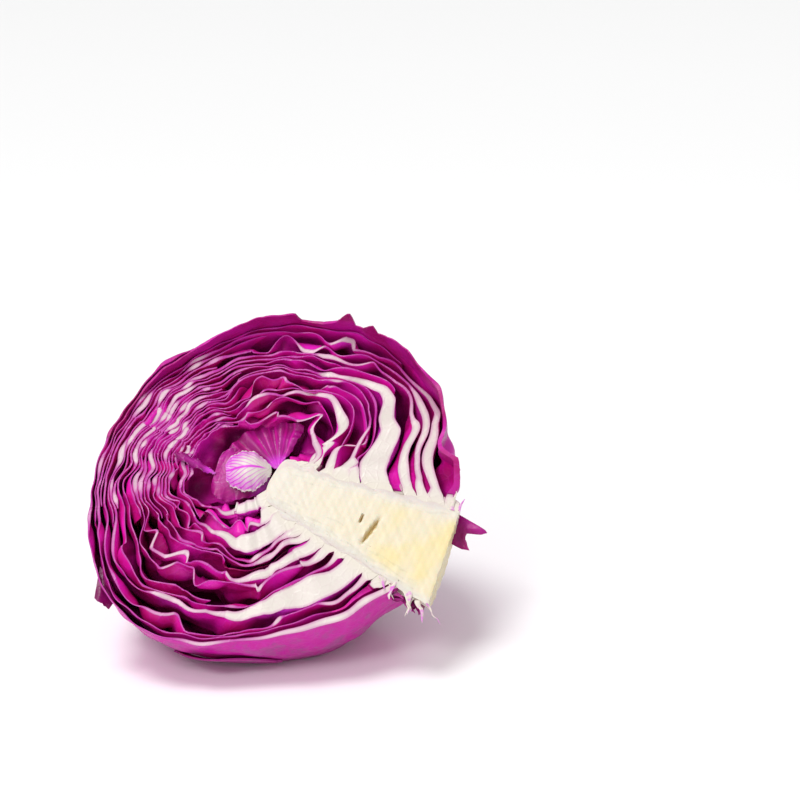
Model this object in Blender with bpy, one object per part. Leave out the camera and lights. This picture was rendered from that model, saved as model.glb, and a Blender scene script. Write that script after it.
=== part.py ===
"""Half of a red cabbage, cut through its stem and resting on its outer leaves.

Every leaf is a thin closed blade with a thick rib. The leaves are nested round a point
near the top of the core, the heart, and each one runs down to the core. Directions from
the heart are given by two angles. Alpha turns in the cut face, from the head's top.
Beta is the depth behind the cut face, from 0 on it to 90 degrees at the back.
"""

import math

import bmesh
import bpy
import numpy as np

MM = 0.001

# Pose of the half
CUT_NORMAL_RISE = math.radians(46.0)
TOP_ANGLE = math.radians(154.0)
HEART_HEIGHT = 80.0

# Axes of the head: X and UP lie in the cut face, OUT leaves it, TOP is the stem's line
X = np.array([1.0, 0.0, 0.0])
UP = np.array([0.0, math.sin(CUT_NORMAL_RISE), math.cos(CUT_NORMAL_RISE)])
OUT = np.array([0.0, -math.cos(CUT_NORMAL_RISE), math.sin(CUT_NORMAL_RISE)])
BACK = -OUT
TOP = math.cos(TOP_ANGLE) * X + math.sin(TOP_ANGLE) * UP
SIDE = math.sin(TOP_ANGLE) * X - math.cos(TOP_ANGLE) * UP
HEART = np.array([0.0, 0.0, HEART_HEIGHT])

# Outline of the head in the cut face: mm along X and UP from the heart
HEAD_OUTLINE = [
    (95, 3), (92, 21), (86, 37), (77, 51), (66, 62), (51, 69), (31, 72), (11, 72), (-7, 67), (-25, 58.5),
    (-41, 46.5), (-52.5, 31.5), (-62.5, 14.5), (-67.5, -10), (-68.5, -35), (-62.5, -59), (-46, -75),
    (-25, -82), (-3, -80), (17, -76), (37, -71), (51, -63), (61, -53), (86, -45),
]
# The space round the heart, inside the innermost leaves, measured the same way
HEART_OUTLINE = [
    (18, 3), (30, 17), (26, 25), (13, 24), (0, 22), (-12, 19), (-20, 11), (-26, 0), (-27, -10), (-18, -17),
    (-4, -16), (7, -12), (14, -5),
]
HEAD_DEPTH = 87.0
HEART_DEPTH = 18.0
LUMP_HEIGHT = 0.9
# Broad swellings of the outside: alpha, beta and spread in degrees, mm
SWELLINGS = [(-142, 26, 30, 5.5), (-82, 22, 26, -4.0), (137, 0, 11, 3.0)]
FLOOR_BLEND = 1.2
SAG = 4.5
SAG_SPREAD = math.radians(36.0)

# Core
CORE_AHEAD = 12.4
CORE_LENGTH = 85.5
CORE_TIP_RADIUS = 9.5
CORE_FLARE = 0.155
CORE_NOSE = 5.0
CORE_END_SLANT = -math.tan(math.radians(8.0))
CLEARANCE = 0.3

# Leaves from the outside in: rib's turn round the stem in degrees (0 is the upper side of
# the cut, 90 the back, 180 the lower side), rib mm, gap mm, reach in degrees
LEAVES = [
    (178, 2.6, 0.8, 108), (25, 2.1, 1.0, 107), (95, 9.0, 1.2, 108), (345, 3.8, 1.8, 106),
    (235, 6.0, 2.0, 106), (18, 2.8, 1.2, 108), (183, 10.0, 1.2, 110), (342, 3.8, 1.4, 108),
    (110, 9.0, 1.2, 108), (275, 8.0, 1.6, 104), (4, 10.5, 1.4, 110), (218, 6.0, 2.0, 104),
    (160, 6.5, 1.0, 110), (80, 8.0, 1.2, 108), (322, 6.0, 1.0, 108), (208, 5.0, 0.8, 110),
    (147, 5.0, 0.8, 110), (38, 5.0, 1.0, 108), (285, 6.0, 1.2, 104), (184, 7.5, 2.0, 112),
    (355, 4.6, 1.8, 96), (100, 5.0, 1.8, 106), (176, 4.5, 1.4, 108), (20, 3.4, 1.0, 100),
]
# Hollow pockets between the leaves: the leaf outside it, alpha, its spread, depth, mm
POCKETS = [
    (3, -97, 22, 40, 5.0), (4, -92, 20, 40, 5.0), (5, -128, 28, 35, 8.0), (11, -99, 20, 35, 7.0),
    (8, -57, 14, 30, 4.0), (12, -62, 13, 30, 4.0), (15, -50, 14, 30, 4.0), (21, -103, 30, 40, 5.0),
    (20, 130, 18, 40, 8.0), (17, 128, 20, 40, 7.0), (8, 140, 18, 40, 8.0), (9, 132, 14, 35, 4.0),
    (1, 152, 12, 30, 7.0), (3, 100, 12, 30, 6.0), (5, 84, 12, 30, 5.0), (17, 48, 15, 30, 5.0),
    (19, 40, 15, 30, 4.0), (7, 108, 10, 25, 5.0), (12, 75, 25, 40, 5.0), (17, 75, 20, 40, 5.0),
    (23, 112, 38, 40, 8.0), (21, 100, 25, 40, 3.0),
]
BLADE = 0.95
LEAF_SPACE = 0.5
LEAST_FREE = 2.0
THICKEN = 0.12
RIB_HALF_WIDTH = math.radians(17.0)
# A rib swells from here down: degrees from the head's top, on the outermost leaf and how much
# earlier on the innermost one
RIB_FROM, RIB_EARLIER, RIB_RISE = 88.0, 26.0, 60.0
LEAF_MIDDLE = math.radians(60.0)
MARGIN_WAVE = math.radians(3.0)
MARGIN_FADE = math.radians(14.0)
ROOT_REACH = math.radians(9.0)
FOLD_HEIGHT = 1.5

# The two outer leaves stand out of the cut, torn, along the head's upper rim: alpha in
# degrees and how far the rim stands out, in degrees round the heart
TORN_LEAVES = 2
TORN_RIM = [
    (-14, 0), (0, 1.5), (20, 4.0), (45, 6.5), (58, 8.0), (66, 8.0), (74, 8.5), (80, 6.5), (89, 4.0),
    (99, 8.5), (110, 11.5), (117, 11.5), (128, 10.0), (140, 8.5), (150, 7.0), (157, 4.5), (162, 0),
]
TORN_SHARES = (1.0, 0.85)
TORN_FADE = math.radians(16.0)

# Mesh rows
COLUMNS = 32
ROWS = [math.radians(b) for b in (0, 14, 30, 46, 64, 90)]
TORN_ROW = math.radians(-16.0)
MARGIN_SNAP = math.radians(1.6)

# Small leaves at the heart: name, foot and tip (X, UP, OUT in mm from the heart), half
# width, where it is widest, spread in degrees, cup depth, wave height, waves along the edge
HEART_LEAVES = [
    ("heart_leaf_cup", (11.5, -0.5, -0.5), (-8.5, -2.0, 0.5), 9.8, 0.5, 0, 5.5, 0.5, 2.0),
    ("heart_leaf_wrap", (11.0, -5.5, -5.5), (-16.5, 1.0, -3.5), 10.5, 0.75, 6, 2.5, 0.9, 2.5),
    ("heart_leaf_fan", (14.5, 3.5, -2.5), (7.0, 22.0, -4.5), 2.2, 0.8, 42, 0.6, 0.8, 2.3),
    ("heart_leaf_ruffle", (-13.5, -1.5, -2.0), (-31.5, 6.5, 2.6), 2.3, 0.6, 0, 1.0, 1.2, 2.0),
]
FAN_SPREAD = 20.0
HEART_BLADE = 0.8

COLOURS = {
    "outer leaf": (0.235, 0.006, 0.105, 0.32),
    "inner leaf": (0.36, 0.008, 0.19, 0.38),
    "heart leaf": (0.56, 0.20, 0.46, 0.40),
    "core": (0.87, 0.80, 0.58, 0.50),
}


def smooth(x):
    x = np.clip(x, 0.0, 1.0)
    return x * x * (3 - 2 * x)


def wave_set(seed, count, rate):
    """Waves in random directions over a sphere, at about this many radians per radian."""
    draw = np.random.default_rng(seed)
    lines = draw.normal(size=(count, 3))
    lines /= np.linalg.norm(lines, axis=1)[:, None]
    rates = rate * (1 + 0.35 * draw.uniform(-1, 1, count))
    return lines * rates[:, None], draw.uniform(0, 2 * np.pi, count), draw.uniform(-1, 1, count)


def ripple(waves, ray, depth=0.0):
    """Sum of the waves at a direction, about 1 high; each also slides with depth."""
    total = 0.0
    for line, start, slant in zip(*waves):
        total = total + np.sin(ray @ line + start + slant * depth)
    return total / math.sqrt(len(waves[1]) / 2)


LUMPS = wave_set(5, 8, 5.0)
FOLDS = wave_set(11, 8, 8.0)
GAP_WAVES = [wave_set(100 + i, 7, 7.0) for i in range(len(LEAVES))]
MIDDLE_WAVES = [wave_set(200 + i, 7, 9.0) for i in range(len(LEAVES))]
MARGIN_WAVES = [wave_set(300 + i, 6, 9.0) for i in range(len(LEAVES))]


def direction(alpha, beta):
    across = np.cos(beta) * np.sin(alpha)
    along = np.cos(beta) * np.cos(alpha)
    return along[..., None] * TOP + across[..., None] * SIDE + np.sin(beta)[..., None] * BACK


def outline_radius(outline, alpha):
    """Distance from the heart to a rounded outline, in the direction alpha."""
    turns = [(TOP_ANGLE - math.atan2(up, x), math.hypot(x, up)) for x, up in outline]
    turns = sorted((math.remainder(turn, 2 * math.pi), radius) for turn, radius in turns)
    angles, radii = np.array(turns).T
    steps = np.radians(np.arange(-12.0, 13.0, 2.0))
    weights = np.exp(-0.5 * (steps / math.radians(6.0)) ** 2)
    total = sum(w * np.interp(alpha + s, angles, radii, period=2 * math.pi) for w, s in zip(weights, steps))
    return total / weights.sum()


def head_radius(alpha, beta):
    """Distance from the heart to the outside of the head, flat where it stands."""
    ray = direction(alpha, beta)
    depth_share = np.sin(beta) ** 2
    radius = outline_radius(HEAD_OUTLINE, alpha) * (1 - depth_share) + HEAD_DEPTH * depth_share
    drop = -ray[..., 2]
    off_floor = np.arccos(np.clip(drop, -1, 1))
    radius = radius + LUMP_HEIGHT * ripple(LUMPS, ray) + SAG * np.exp(-(off_floor / SAG_SPREAD) ** 2)
    for turn, depth, spread, size in SWELLINGS:
        centre = direction(np.radians(float(turn)), np.radians(float(depth)))
        off = np.arccos(np.clip(ray @ centre, -1, 1))
        radius = radius + size * np.exp(-(off / math.radians(spread)) ** 2)
    floor = HEART_HEIGHT / np.maximum(drop, 0.2)
    share = np.clip(0.5 + 0.5 * (floor - radius) / FLOOR_BLEND, 0, 1)
    return radius * share + floor * (1 - share) - FLOOR_BLEND * share * (1 - share) * 0.5


def heart_radius(alpha, beta):
    depth_share = np.sin(beta) ** 2
    return outline_radius(HEART_OUTLINE, alpha) * (1 - depth_share) + HEART_DEPTH * depth_share


def leaf_fields(index, ray):
    """How far inside its margin a leaf is, and how thick its rib is, at each direction."""
    turn, rib_size, _, reach = LEAVES[index]
    turn = math.radians(turn)
    rib_line = math.cos(turn) * SIDE + math.sin(turn) * BACK
    side_line = np.cross(TOP, rib_line)
    along = np.arctan2(ray @ rib_line, ray @ TOP)
    across = np.arcsin(np.clip(ray @ side_line, -1, 1))
    middle = math.cos(LEAF_MIDDLE) * TOP + math.sin(LEAF_MIDDLE) * rib_line
    off_middle = np.arccos(np.clip(ray @ middle, -1, 1))
    root = smooth((along - math.radians(90)) / math.radians(50)) * np.exp(-(across / math.radians(40)) ** 2)
    margin = math.radians(reach) + MARGIN_WAVE * ripple(MARGIN_WAVES[index], ray) + ROOT_REACH * root
    rib_from = RIB_FROM - RIB_EARLIER * (index / (len(LEAVES) - 1)) ** 2
    swell = smooth((np.degrees(along) - rib_from) / RIB_RISE) ** 1.5
    rib = rib_size * swell * np.exp(-(across / RIB_HALF_WIDTH) ** 2)
    return margin - off_middle, rib


def nest_leaves(alpha, beta):
    """Outer and inner radius of every leaf, with its distance inside its margin."""
    ray = direction(alpha, beta)
    outside = head_radius(alpha, beta)
    room = outside - heart_radius(alpha, beta)
    fields = []
    for index, (_, _, gap, _) in enumerate(LEAVES):
        inside, rib = leaf_fields(index, ray)
        present = smooth((inside + MARGIN_FADE) / MARGIN_FADE)
        loose = gap * np.exp(0.8 * np.clip(ripple(GAP_WAVES[index], ray), -1.6, 1.4) - 0.2)
        for leaf, centre, spread, depth, size in POCKETS:
            if leaf == index:
                off = np.remainder(alpha - math.radians(centre) + math.pi, 2 * math.pi) - math.pi
                loose = loose + size * np.exp(-(off / math.radians(spread)) ** 2
                                              - (beta / math.radians(depth)) ** 2)
        fields.append((inside, rib, present, loose))
    least = sum(present for _, _, present, _ in fields) * (BLADE + LEAF_SPACE)
    wanted = sum(present * (rib + loose) for _, rib, present, loose in fields)
    share = np.maximum(room - least, LEAST_FREE) / wanted
    leaves = []
    for index, (inside, rib, present, loose) in enumerate(fields):
        slot = present * (BLADE + LEAF_SPACE + share * (rib + loose))
        thickness = present * (BLADE + rib * np.minimum(share, 1.15))
        free = np.maximum(slot - thickness - present * LEAF_SPACE, 0.0)
        lean = np.clip(0.6 * ripple(MIDDLE_WAVES[index], ray), -1, 1)
        if index == 0:
            lean = 1.0
            free = slot - thickness
        middle = outside - slot / 2 + free / 2 * lean
        leaves.append((middle, thickness / 2, inside))
        outside = outside - slot
    return leaves


def fold(radius, alpha, beta):
    """A point of the head in mm: the layers rise and fall together in long folds."""
    ray = direction(alpha, beta)
    reach = np.clip(radius / head_radius(alpha, beta), 0.0, 1.2)
    off_top = np.degrees(np.arccos(np.clip(ray @ TOP, -1, 1)))
    amount = smooth((1.0 - reach) / 0.25) * smooth((reach - 0.15) / 0.3)
    amount = amount * (1 - 0.9 * smooth((off_top - 70) / 60))
    radius = radius + FOLD_HEIGHT * amount * ripple(FOLDS, ray, radius / 11.0)
    return HEART + radius[..., None] * ray


def torn_rim(index, alpha):
    """Beta where a torn outer leaf ends, below 0 in front of the cut."""
    turns, rises = np.radians(np.array(TORN_RIM)).T
    return -TORN_SHARES[index] * np.interp(alpha, turns, rises)


def core_half_width(down):
    """Half width of the core, this far below its tip."""
    nose = np.sqrt(np.clip(1 - (1 - np.minimum(down / CORE_NOSE, 1)) ** 2, 0, 1))
    return (CORE_TIP_RADIUS + CORE_FLARE * down) * nose


def core_point(down, turn, spare=0.0):
    """A point on the core's side, turned round its axis from the cut face's upper side."""
    width = core_half_width(down) + spare
    slant = CORE_END_SLANT * width * math.cos(turn) * smooth(down / CORE_LENGTH)
    axis = HEART - (CORE_AHEAD - spare + down + slant) * TOP
    return axis + width * (math.cos(turn) * SIDE + math.sin(turn) * BACK)


def deep_in_core(point):
    """True where a point is at least 1 mm under the core's side."""
    offset = point - HEART
    down = -(offset @ TOP) - CORE_AHEAD
    from_axis = np.linalg.norm(offset + (offset @ -TOP)[..., None] * TOP, axis=-1)
    return (down > 1.5) & (down < CORE_LENGTH - 4) & (from_axis < core_half_width(np.maximum(down, 0)) - 1.0)


def material(kind):
    red, green, blue, roughness = COLOURS[kind]
    made = bpy.data.materials.get(kind)
    if made is None:
        made = bpy.data.materials.new(kind)
        made.use_nodes = True
        shader = made.node_tree.nodes["Principled BSDF"]
        shader.inputs["Base Color"].default_value = (red, green, blue, 1.0)
        shader.inputs["Roughness"].default_value = roughness
        shader.inputs["Metallic"].default_value = 0.0
    return made


def add_object(name, points, faces, kind, smooth_angle=40.0):
    """An object from points in mm, its faces split into triangles."""
    mesh = bpy.data.meshes.new(name)
    mesh.from_pydata([tuple(point * MM) for point in points], [], faces)
    shape = bmesh.new()
    shape.from_mesh(mesh)
    bmesh.ops.recalc_face_normals(shape, faces=shape.faces)
    shape.to_mesh(mesh)
    shape.free()
    mesh.shade_smooth()
    mesh.set_sharp_from_angle(angle=math.radians(smooth_angle))
    mesh.materials.append(material(kind))
    thing = bpy.data.objects.new(name, mesh)
    bpy.context.scene.collection.objects.link(thing)
    return thing


def head_grid(first_row=None):
    """The shared grid of directions, and its triangles, split the same way for every leaf."""
    rows = ROWS if first_row is None else [first_row] + ROWS
    alpha = np.radians(-180 + 360 / COLUMNS * np.arange(COLUMNS))
    alphas, betas = np.meshgrid(alpha, np.array(rows), indexing="ij")
    pole = len(rows) - 1
    triangles = []
    for column in range(COLUMNS):
        following = (column + 1) % COLUMNS
        for row in range(pole - 1):
            a, b = (column, row), (following, row)
            c, d = (following, row + 1), (column, row + 1)
            triangles += [(a, b, c), (a, c, d)]
        triangles.append(((column, pole - 1), (following, pole - 1), (0, pole)))
    return alphas, betas, triangles


def clip_triangles(triangles, field):
    """The parts of the triangles where the field isn't negative; corners may lie on edges."""
    kept = []
    for triangle in triangles:
        if max(field[corner] for corner in triangle) <= 0:
            continue
        corners = []
        for here, there in zip(triangle, triangle[1:] + triangle[:1]):
            if field[here] >= 0:
                corners.append((here, here, 0.0))
            if field[here] * field[there] < 0:
                first, last = sorted((here, there))
                corners.append((first, last, field[first] / (field[first] - field[last])))
        kept += [(corners[0], corners[k], corners[k + 1]) for k in range(1, len(corners) - 1)]
    return kept


def largest_patch(triangles):
    """The largest group of triangles that meet edge to edge."""
    by_edge = {}
    for number, triangle in enumerate(triangles):
        for edge in zip(triangle, triangle[1:] + triangle[:1]):
            by_edge.setdefault(frozenset(edge), []).append(number)
    unseen = set(range(len(triangles)))
    patches = []
    while unseen:
        queue = [unseen.pop()]
        patch = []
        while queue:
            number = queue.pop()
            patch.append(number)
            triangle = triangles[number]
            for edge in zip(triangle, triangle[1:] + triangle[:1]):
                for other in by_edge[frozenset(edge)]:
                    if other in unseen:
                        unseen.remove(other)
                        queue.append(other)
        patches.append(patch)
    return [triangles[number] for number in max(patches, key=len)]


def close_blade(triangles, outer, inner):
    """Points and faces of the closed blade between two surfaces over the same triangles."""
    numbers = {}
    points = []

    def place(corner, side):
        if (corner, side) not in numbers:
            first, last, share = corner
            surface = outer if side == 0 else inner
            numbers[(corner, side)] = len(points)
            points.append(surface[first] * (1 - share) + surface[last] * share)
        return numbers[(corner, side)]

    faces = []
    edges = set()
    for triangle in triangles:
        faces.append([place(corner, 0) for corner in triangle])
        faces.append([place(corner, 1) for corner in reversed(triangle)])
        edges.update(zip(triangle, triangle[1:] + triangle[:1]))
    for here, there in edges:
        if (there, here) not in edges:
            a, b = place(here, 0), place(there, 0)
            c, d = place(there, 1), place(here, 1)
            faces += [[b, a, c], [c, a, d]]
    return points, faces


def make_leaf(index, core_cutter):
    """One nested leaf, cut off at the core."""
    torn = index < TORN_LEAVES
    alphas, betas, triangles = head_grid(TORN_ROW if torn else None)
    middle, half, inside = nest_leaves(alphas, np.maximum(betas, 0.0))[index]
    step = 0.05
    centre = fold(middle, alphas, betas)
    growth = (fold(middle + step, alphas, betas) - centre) / step
    around = np.roll(centre, -1, axis=0) - np.roll(centre, 1, axis=0)
    normal = np.cross(around, np.gradient(centre, axis=1))
    normal /= np.linalg.norm(normal, axis=-1)[..., None] + 1e-9
    tilt = np.abs((growth * normal).sum(axis=-1))
    tilt[:, -1] = 1.0
    half = np.clip(half / np.maximum(tilt, 0.5), half, half + np.minimum(THICKEN, 0.3 * half))
    outer = fold(middle + half, alphas, betas)
    inner = fold(middle - half, alphas, betas)
    if index == 0:
        outer[..., 2] = np.where(outer[..., 2] < 0.35, 0.0, outer[..., 2])
    field = np.where(np.abs(inside) < MARGIN_SNAP, 0.0, inside)
    if torn:
        rim = betas - torn_rim(index, alphas) * smooth(inside / TORN_FADE)
        field = np.minimum(field, np.where(np.abs(rim) < MARGIN_SNAP, 0.0, rim))
    hidden = deep_in_core(outer) & deep_in_core(inner)
    triangles = [t for t in triangles if not all(hidden[corner] for corner in t)]
    triangles = largest_patch(clip_triangles(triangles, field))
    points, faces = close_blade(triangles, outer, inner)
    kind = "outer leaf" if index < 3 else "inner leaf"
    leaf = add_object(f"leaf_{index + 1:02d}", points, faces, kind)
    cut = leaf.modifiers.new("core", "BOOLEAN")
    cut.operation = "DIFFERENCE"
    cut.solver = "EXACT"
    cut.object = core_cutter
    return leaf


def make_core(name, half_turn, spare=0.0):
    """The core's cut half, or all round as a cutter with room to spare."""
    sides = 16 if half_turn else 28
    downs = [0.0, 0.6, 2.0, CORE_NOSE, 14, 26, 38, 50, 62, 74, CORE_LENGTH]
    turns = [math.pi * k / sides if half_turn else 2 * math.pi * k / sides for k in range(sides + 1)]
    if not half_turn:
        turns.pop()
    points = [core_point(0.0, 0.0) + (spare - core_half_width(0.0)) * TOP]
    rings = []
    for down in downs[1:]:
        rings.append(list(range(len(points), len(points) + len(turns))))
        points += [core_point(down, turn, spare) for turn in turns]
    faces = []
    count = len(turns)
    last = count - 1 if half_turn else count
    for k in range(last):
        faces.append([0, rings[0][k], rings[0][(k + 1) % count]])
        for upper, lower in zip(rings, rings[1:]):
            faces.append([upper[k], lower[k], lower[(k + 1) % count], upper[(k + 1) % count]])
    if half_turn:
        for upper, lower in zip(rings, rings[1:]):
            faces.append([upper[0], upper[-1], lower[-1], lower[0]])
        faces.append([0, rings[0][-1], rings[0][0]])
    faces.append(list(rings[-1]))
    return add_object(name, points, faces, "core")


def in_face(spot):
    return HEART + spot[0] * X + spot[1] * UP + spot[2] * OUT


def heart_leaf_spot(share, side, foot, tip, half_width, widest, spread, cup, wave, waves):
    """A point of a small leaf's middle, at shares along it and across it, and the way it faces."""
    foot, tip = in_face(foot), in_face(tip)
    length = np.linalg.norm(tip - foot)
    along = (tip - foot) / length
    across = np.cross(OUT, along)
    across /= np.linalg.norm(across)
    rise = np.cross(along, across)
    width = half_width * (0.2 + 0.8 * math.sin(min(share / widest, 1) * math.pi / 2))
    width *= math.sqrt(1 - (0.92 * max(share - widest, 0) / (1 - widest)) ** 2)
    lift = cup * (1 - side ** 2) * math.sin(math.pi * min(share, 0.9))
    lift += wave * side ** 2 * math.sin(2 * math.pi * waves * share + side) * min(3 * share, 1)
    turn = math.radians(spread) * side
    if spread > FAN_SPREAD:
        lift += wave * share * math.cos(2 * math.pi * waves * side)
    spot = foot + length * share * math.cos(turn) * along
    spot += (length * share * math.sin(turn) + width * side) * across + lift * rise
    return spot, rise


def make_heart_leaf(name, *sizes):
    """A small cupped leaf with a waved edge, wider towards its tip."""
    rows, columns = 9, 9
    outer, inner, triangles = {}, {}, []
    for i in range(rows):
        for j in range(columns):
            spot, rise = heart_leaf_spot(i / (rows - 1), 2 * j / (columns - 1) - 1, *sizes)
            outer[(i, j)] = spot + rise * HEART_BLADE / 2
            inner[(i, j)] = spot - rise * HEART_BLADE / 2
    for i in range(rows - 1):
        for j in range(columns - 1):
            a, b, c, d = (i, j), (i + 1, j), (i + 1, j + 1), (i, j + 1)
            triangles += [(a, b, c), (a, c, d)]
    triangles = [tuple((corner, corner, 0.0) for corner in t) for t in triangles]
    points, faces = close_blade(triangles, outer, inner)
    return add_object(name, points, faces, "heart leaf")


def main():
    for thing in list(bpy.data.objects):
        bpy.data.objects.remove(thing)
    make_core("core", half_turn=True)
    cutter = make_core("core_cutter", half_turn=False, spare=CLEARANCE)
    cutter.hide_render = True
    cutter.display_type = "WIRE"
    for index in range(len(LEAVES)):
        make_leaf(index, cutter)
    for leaf in HEART_LEAVES:
        make_heart_leaf(*leaf)


main()
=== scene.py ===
"""Half of a red cabbage: the fine leaves, core and stage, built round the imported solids.

The leaves are nested round the heart, a point near the top of the core. Alpha turns in the
cut face from the head's top, and beta is the depth behind the cut face. Lengths in the
modelling code are in millimetres, and each finished mesh is in metres.
"""

import math

import bmesh
import bpy
import numpy as np
from bpy.props import FloatProperty, FloatVectorProperty, IntProperty, PointerProperty
from mathutils import Matrix, Vector


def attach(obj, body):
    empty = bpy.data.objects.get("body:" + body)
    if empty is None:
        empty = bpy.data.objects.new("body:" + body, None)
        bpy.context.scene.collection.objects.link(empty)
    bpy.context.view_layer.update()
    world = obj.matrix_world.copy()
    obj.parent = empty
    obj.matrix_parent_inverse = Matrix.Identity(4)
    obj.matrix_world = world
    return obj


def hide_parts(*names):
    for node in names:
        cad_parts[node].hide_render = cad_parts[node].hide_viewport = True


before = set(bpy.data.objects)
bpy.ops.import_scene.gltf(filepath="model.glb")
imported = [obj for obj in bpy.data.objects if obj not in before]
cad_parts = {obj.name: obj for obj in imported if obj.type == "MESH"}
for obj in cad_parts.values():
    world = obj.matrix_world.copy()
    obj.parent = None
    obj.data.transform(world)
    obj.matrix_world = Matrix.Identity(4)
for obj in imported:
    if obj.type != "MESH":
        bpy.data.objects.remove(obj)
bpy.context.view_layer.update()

bl_info = {
    "name": "Red Cabbage Half",
    "version": (1, 0, 0),
    "blender": (4, 5, 0),
    "location": "View3D > Sidebar > Cabbage",
    "description": "Builds half a red cabbage with its cut face, leaves and core",
    "category": "Add Mesh",
}

MM = 0.001
IMAGE_SIDE = 800

# Pose of the half, and the axes of the head
CUT_NORMAL_RISE = math.radians(46.0)
TOP_ANGLE = math.radians(154.0)
HEART_HEIGHT = 80.0
X = np.array([1.0, 0.0, 0.0])
UP = np.array([0.0, math.sin(CUT_NORMAL_RISE), math.cos(CUT_NORMAL_RISE)])
OUT = np.array([0.0, -math.cos(CUT_NORMAL_RISE), math.sin(CUT_NORMAL_RISE)])
BACK = -OUT
TOP = math.cos(TOP_ANGLE) * X + math.sin(TOP_ANGLE) * UP
SIDE = math.sin(TOP_ANGLE) * X - math.cos(TOP_ANGLE) * UP
HEART = np.array([0.0, 0.0, HEART_HEIGHT])

# Outlines in the cut face: mm along X and UP from the heart
HEAD_OUTLINE = [
    (95, 3), (92, 21), (86, 37), (77, 51), (66, 62), (51, 69), (31, 72), (11, 72), (-7, 67), (-25, 58.5),
    (-41, 46.5), (-52.5, 31.5), (-62.5, 14.5), (-67.5, -10), (-68.5, -35), (-62.5, -59), (-46, -75),
    (-25, -82), (-3, -80), (17, -76), (37, -71), (51, -63), (61, -53), (86, -45),
]
HEART_OUTLINE = [
    (18, 3), (30, 17), (26, 25), (13, 24), (0, 22), (-12, 19), (-20, 11), (-26, 0), (-27, -10), (-18, -17),
    (-4, -16), (7, -12), (14, -5),
]
HEAD_DEPTH = 87.0
HEART_DEPTH = 18.0
LUMP_HEIGHT = 0.9
# Broad swellings of the outside: alpha, beta and spread in degrees, mm
SWELLINGS = [(-142, 26, 30, 5.5), (-82, 22, 26, -4.0), (137, 0, 11, 3.0)]
FLOOR_BLEND = 1.2
SAG = 4.5
SAG_SPREAD = math.radians(36.0)

# Core
CORE_AHEAD = 12.4
CORE_LENGTH = 85.5
CORE_TIP_RADIUS = 9.5
CORE_FLARE = 0.155
CORE_NOSE = 5.0
CORE_END_SLANT = -math.tan(math.radians(8.0))

# Leaves from the outside in: rib's turn round the stem in degrees (0 is the upper side of
# the cut, 90 the back, 180 the lower side), rib mm, gap mm, reach in degrees
LEAVES = [
    (178, 2.6, 0.8, 108), (25, 2.1, 1.0, 107), (95, 9.0, 1.2, 108), (345, 3.8, 1.8, 106),
    (235, 6.0, 2.0, 106), (18, 2.8, 1.2, 108), (183, 10.0, 1.2, 110), (342, 3.8, 1.4, 108),
    (110, 9.0, 1.2, 108), (275, 8.0, 1.6, 104), (4, 10.5, 1.4, 110), (218, 6.0, 2.0, 104),
    (160, 6.5, 1.0, 110), (80, 8.0, 1.2, 108), (322, 6.0, 1.0, 108), (208, 5.0, 0.8, 110),
    (147, 5.0, 0.8, 110), (38, 5.0, 1.0, 108), (285, 6.0, 1.2, 104), (184, 7.5, 2.0, 112),
    (355, 4.6, 1.8, 96), (100, 5.0, 1.8, 106), (176, 4.5, 1.4, 108), (20, 3.4, 1.0, 100),
]
# Hollow pockets between the leaves: the leaf outside it, alpha, its spread, depth, mm
POCKETS = [
    (3, -97, 22, 40, 5.0), (4, -92, 20, 40, 5.0), (5, -128, 28, 35, 8.0), (11, -99, 20, 35, 7.0),
    (8, -57, 14, 30, 4.0), (12, -62, 13, 30, 4.0), (15, -50, 14, 30, 4.0), (21, -103, 30, 40, 5.0),
    (20, 130, 18, 40, 8.0), (17, 128, 20, 40, 7.0), (8, 140, 18, 40, 8.0), (9, 132, 14, 35, 4.0),
    (1, 152, 12, 30, 7.0), (3, 100, 12, 30, 6.0), (5, 84, 12, 30, 5.0), (17, 48, 15, 30, 5.0),
    (19, 40, 15, 30, 4.0), (7, 108, 10, 25, 5.0), (12, 75, 25, 40, 5.0), (17, 75, 20, 40, 5.0),
    (23, 112, 38, 40, 8.0), (21, 100, 25, 40, 3.0), (7, -26, 8, 14, 5.0), (12, -21, 8, 14, 4.5),
    (18, 67, 8, 14, 4.0), (16, 52, 7, 12, 4.0), (5, 70, 9, 14, 4.0), (9, 20, 8, 12, 3.0),
    (14, 2, 9, 14, 3.5), (6, 40, 8, 12, 3.0), (20, -40, 10, 16, 4.0), (10, -60, 9, 14, 4.0),
]
LEAF_SPACE = 0.5
LEAST_FREE = 2.0
# A rib swells at most this much where there is room, and a curl uses at most this room, mm,
# as if the leaf lay at least this far from the heart
RIB_SHARE_MOST, CURL_ROOM, CURL_RADIUS = 1.15, 4.0, 20.0
THICKEN = 0.45
RIB_HALF_WIDTH = math.radians(17.0)
# A rib swells from here down: degrees from the head's top, on the outermost leaf and how much
# earlier on the innermost one
RIB_FROM, RIB_EARLIER, RIB_RISE = 88.0, 26.0, 60.0
LEAF_MIDDLE = math.radians(60.0)
MARGIN_WAVE = math.radians(3.0)
MARGIN_FADE = math.radians(14.0)
VEIN_FADE = math.radians(10.0)
ROOT_REACH = math.radians(9.0)
FOLD_HEIGHT = 1.5
# From this leaf inwards the mesh has fewer columns
SMALL_FROM = 16
SIDE_VEIN_SPACING = math.radians(18.0)
SIDE_VEIN_WIDTH = math.radians(6.0)
SIDE_VEIN_LEAN = 0.6
VEIN_ROOM = 0.55
# Near the core the leaves' roots grow together: how far from the core, mm
WEB_REACH = 3.6
WEB_CURVE = 3.0
WEB_OVERLAP = 0.25
WEB_MARGIN = math.radians(20.0)
# The thin skin's line at a cut edge and the tinted flesh under it, mm
SKIN_LINE = 0.3
TINTED_FLESH = 1.5
EDGE_PALENESS = 0.55
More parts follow.
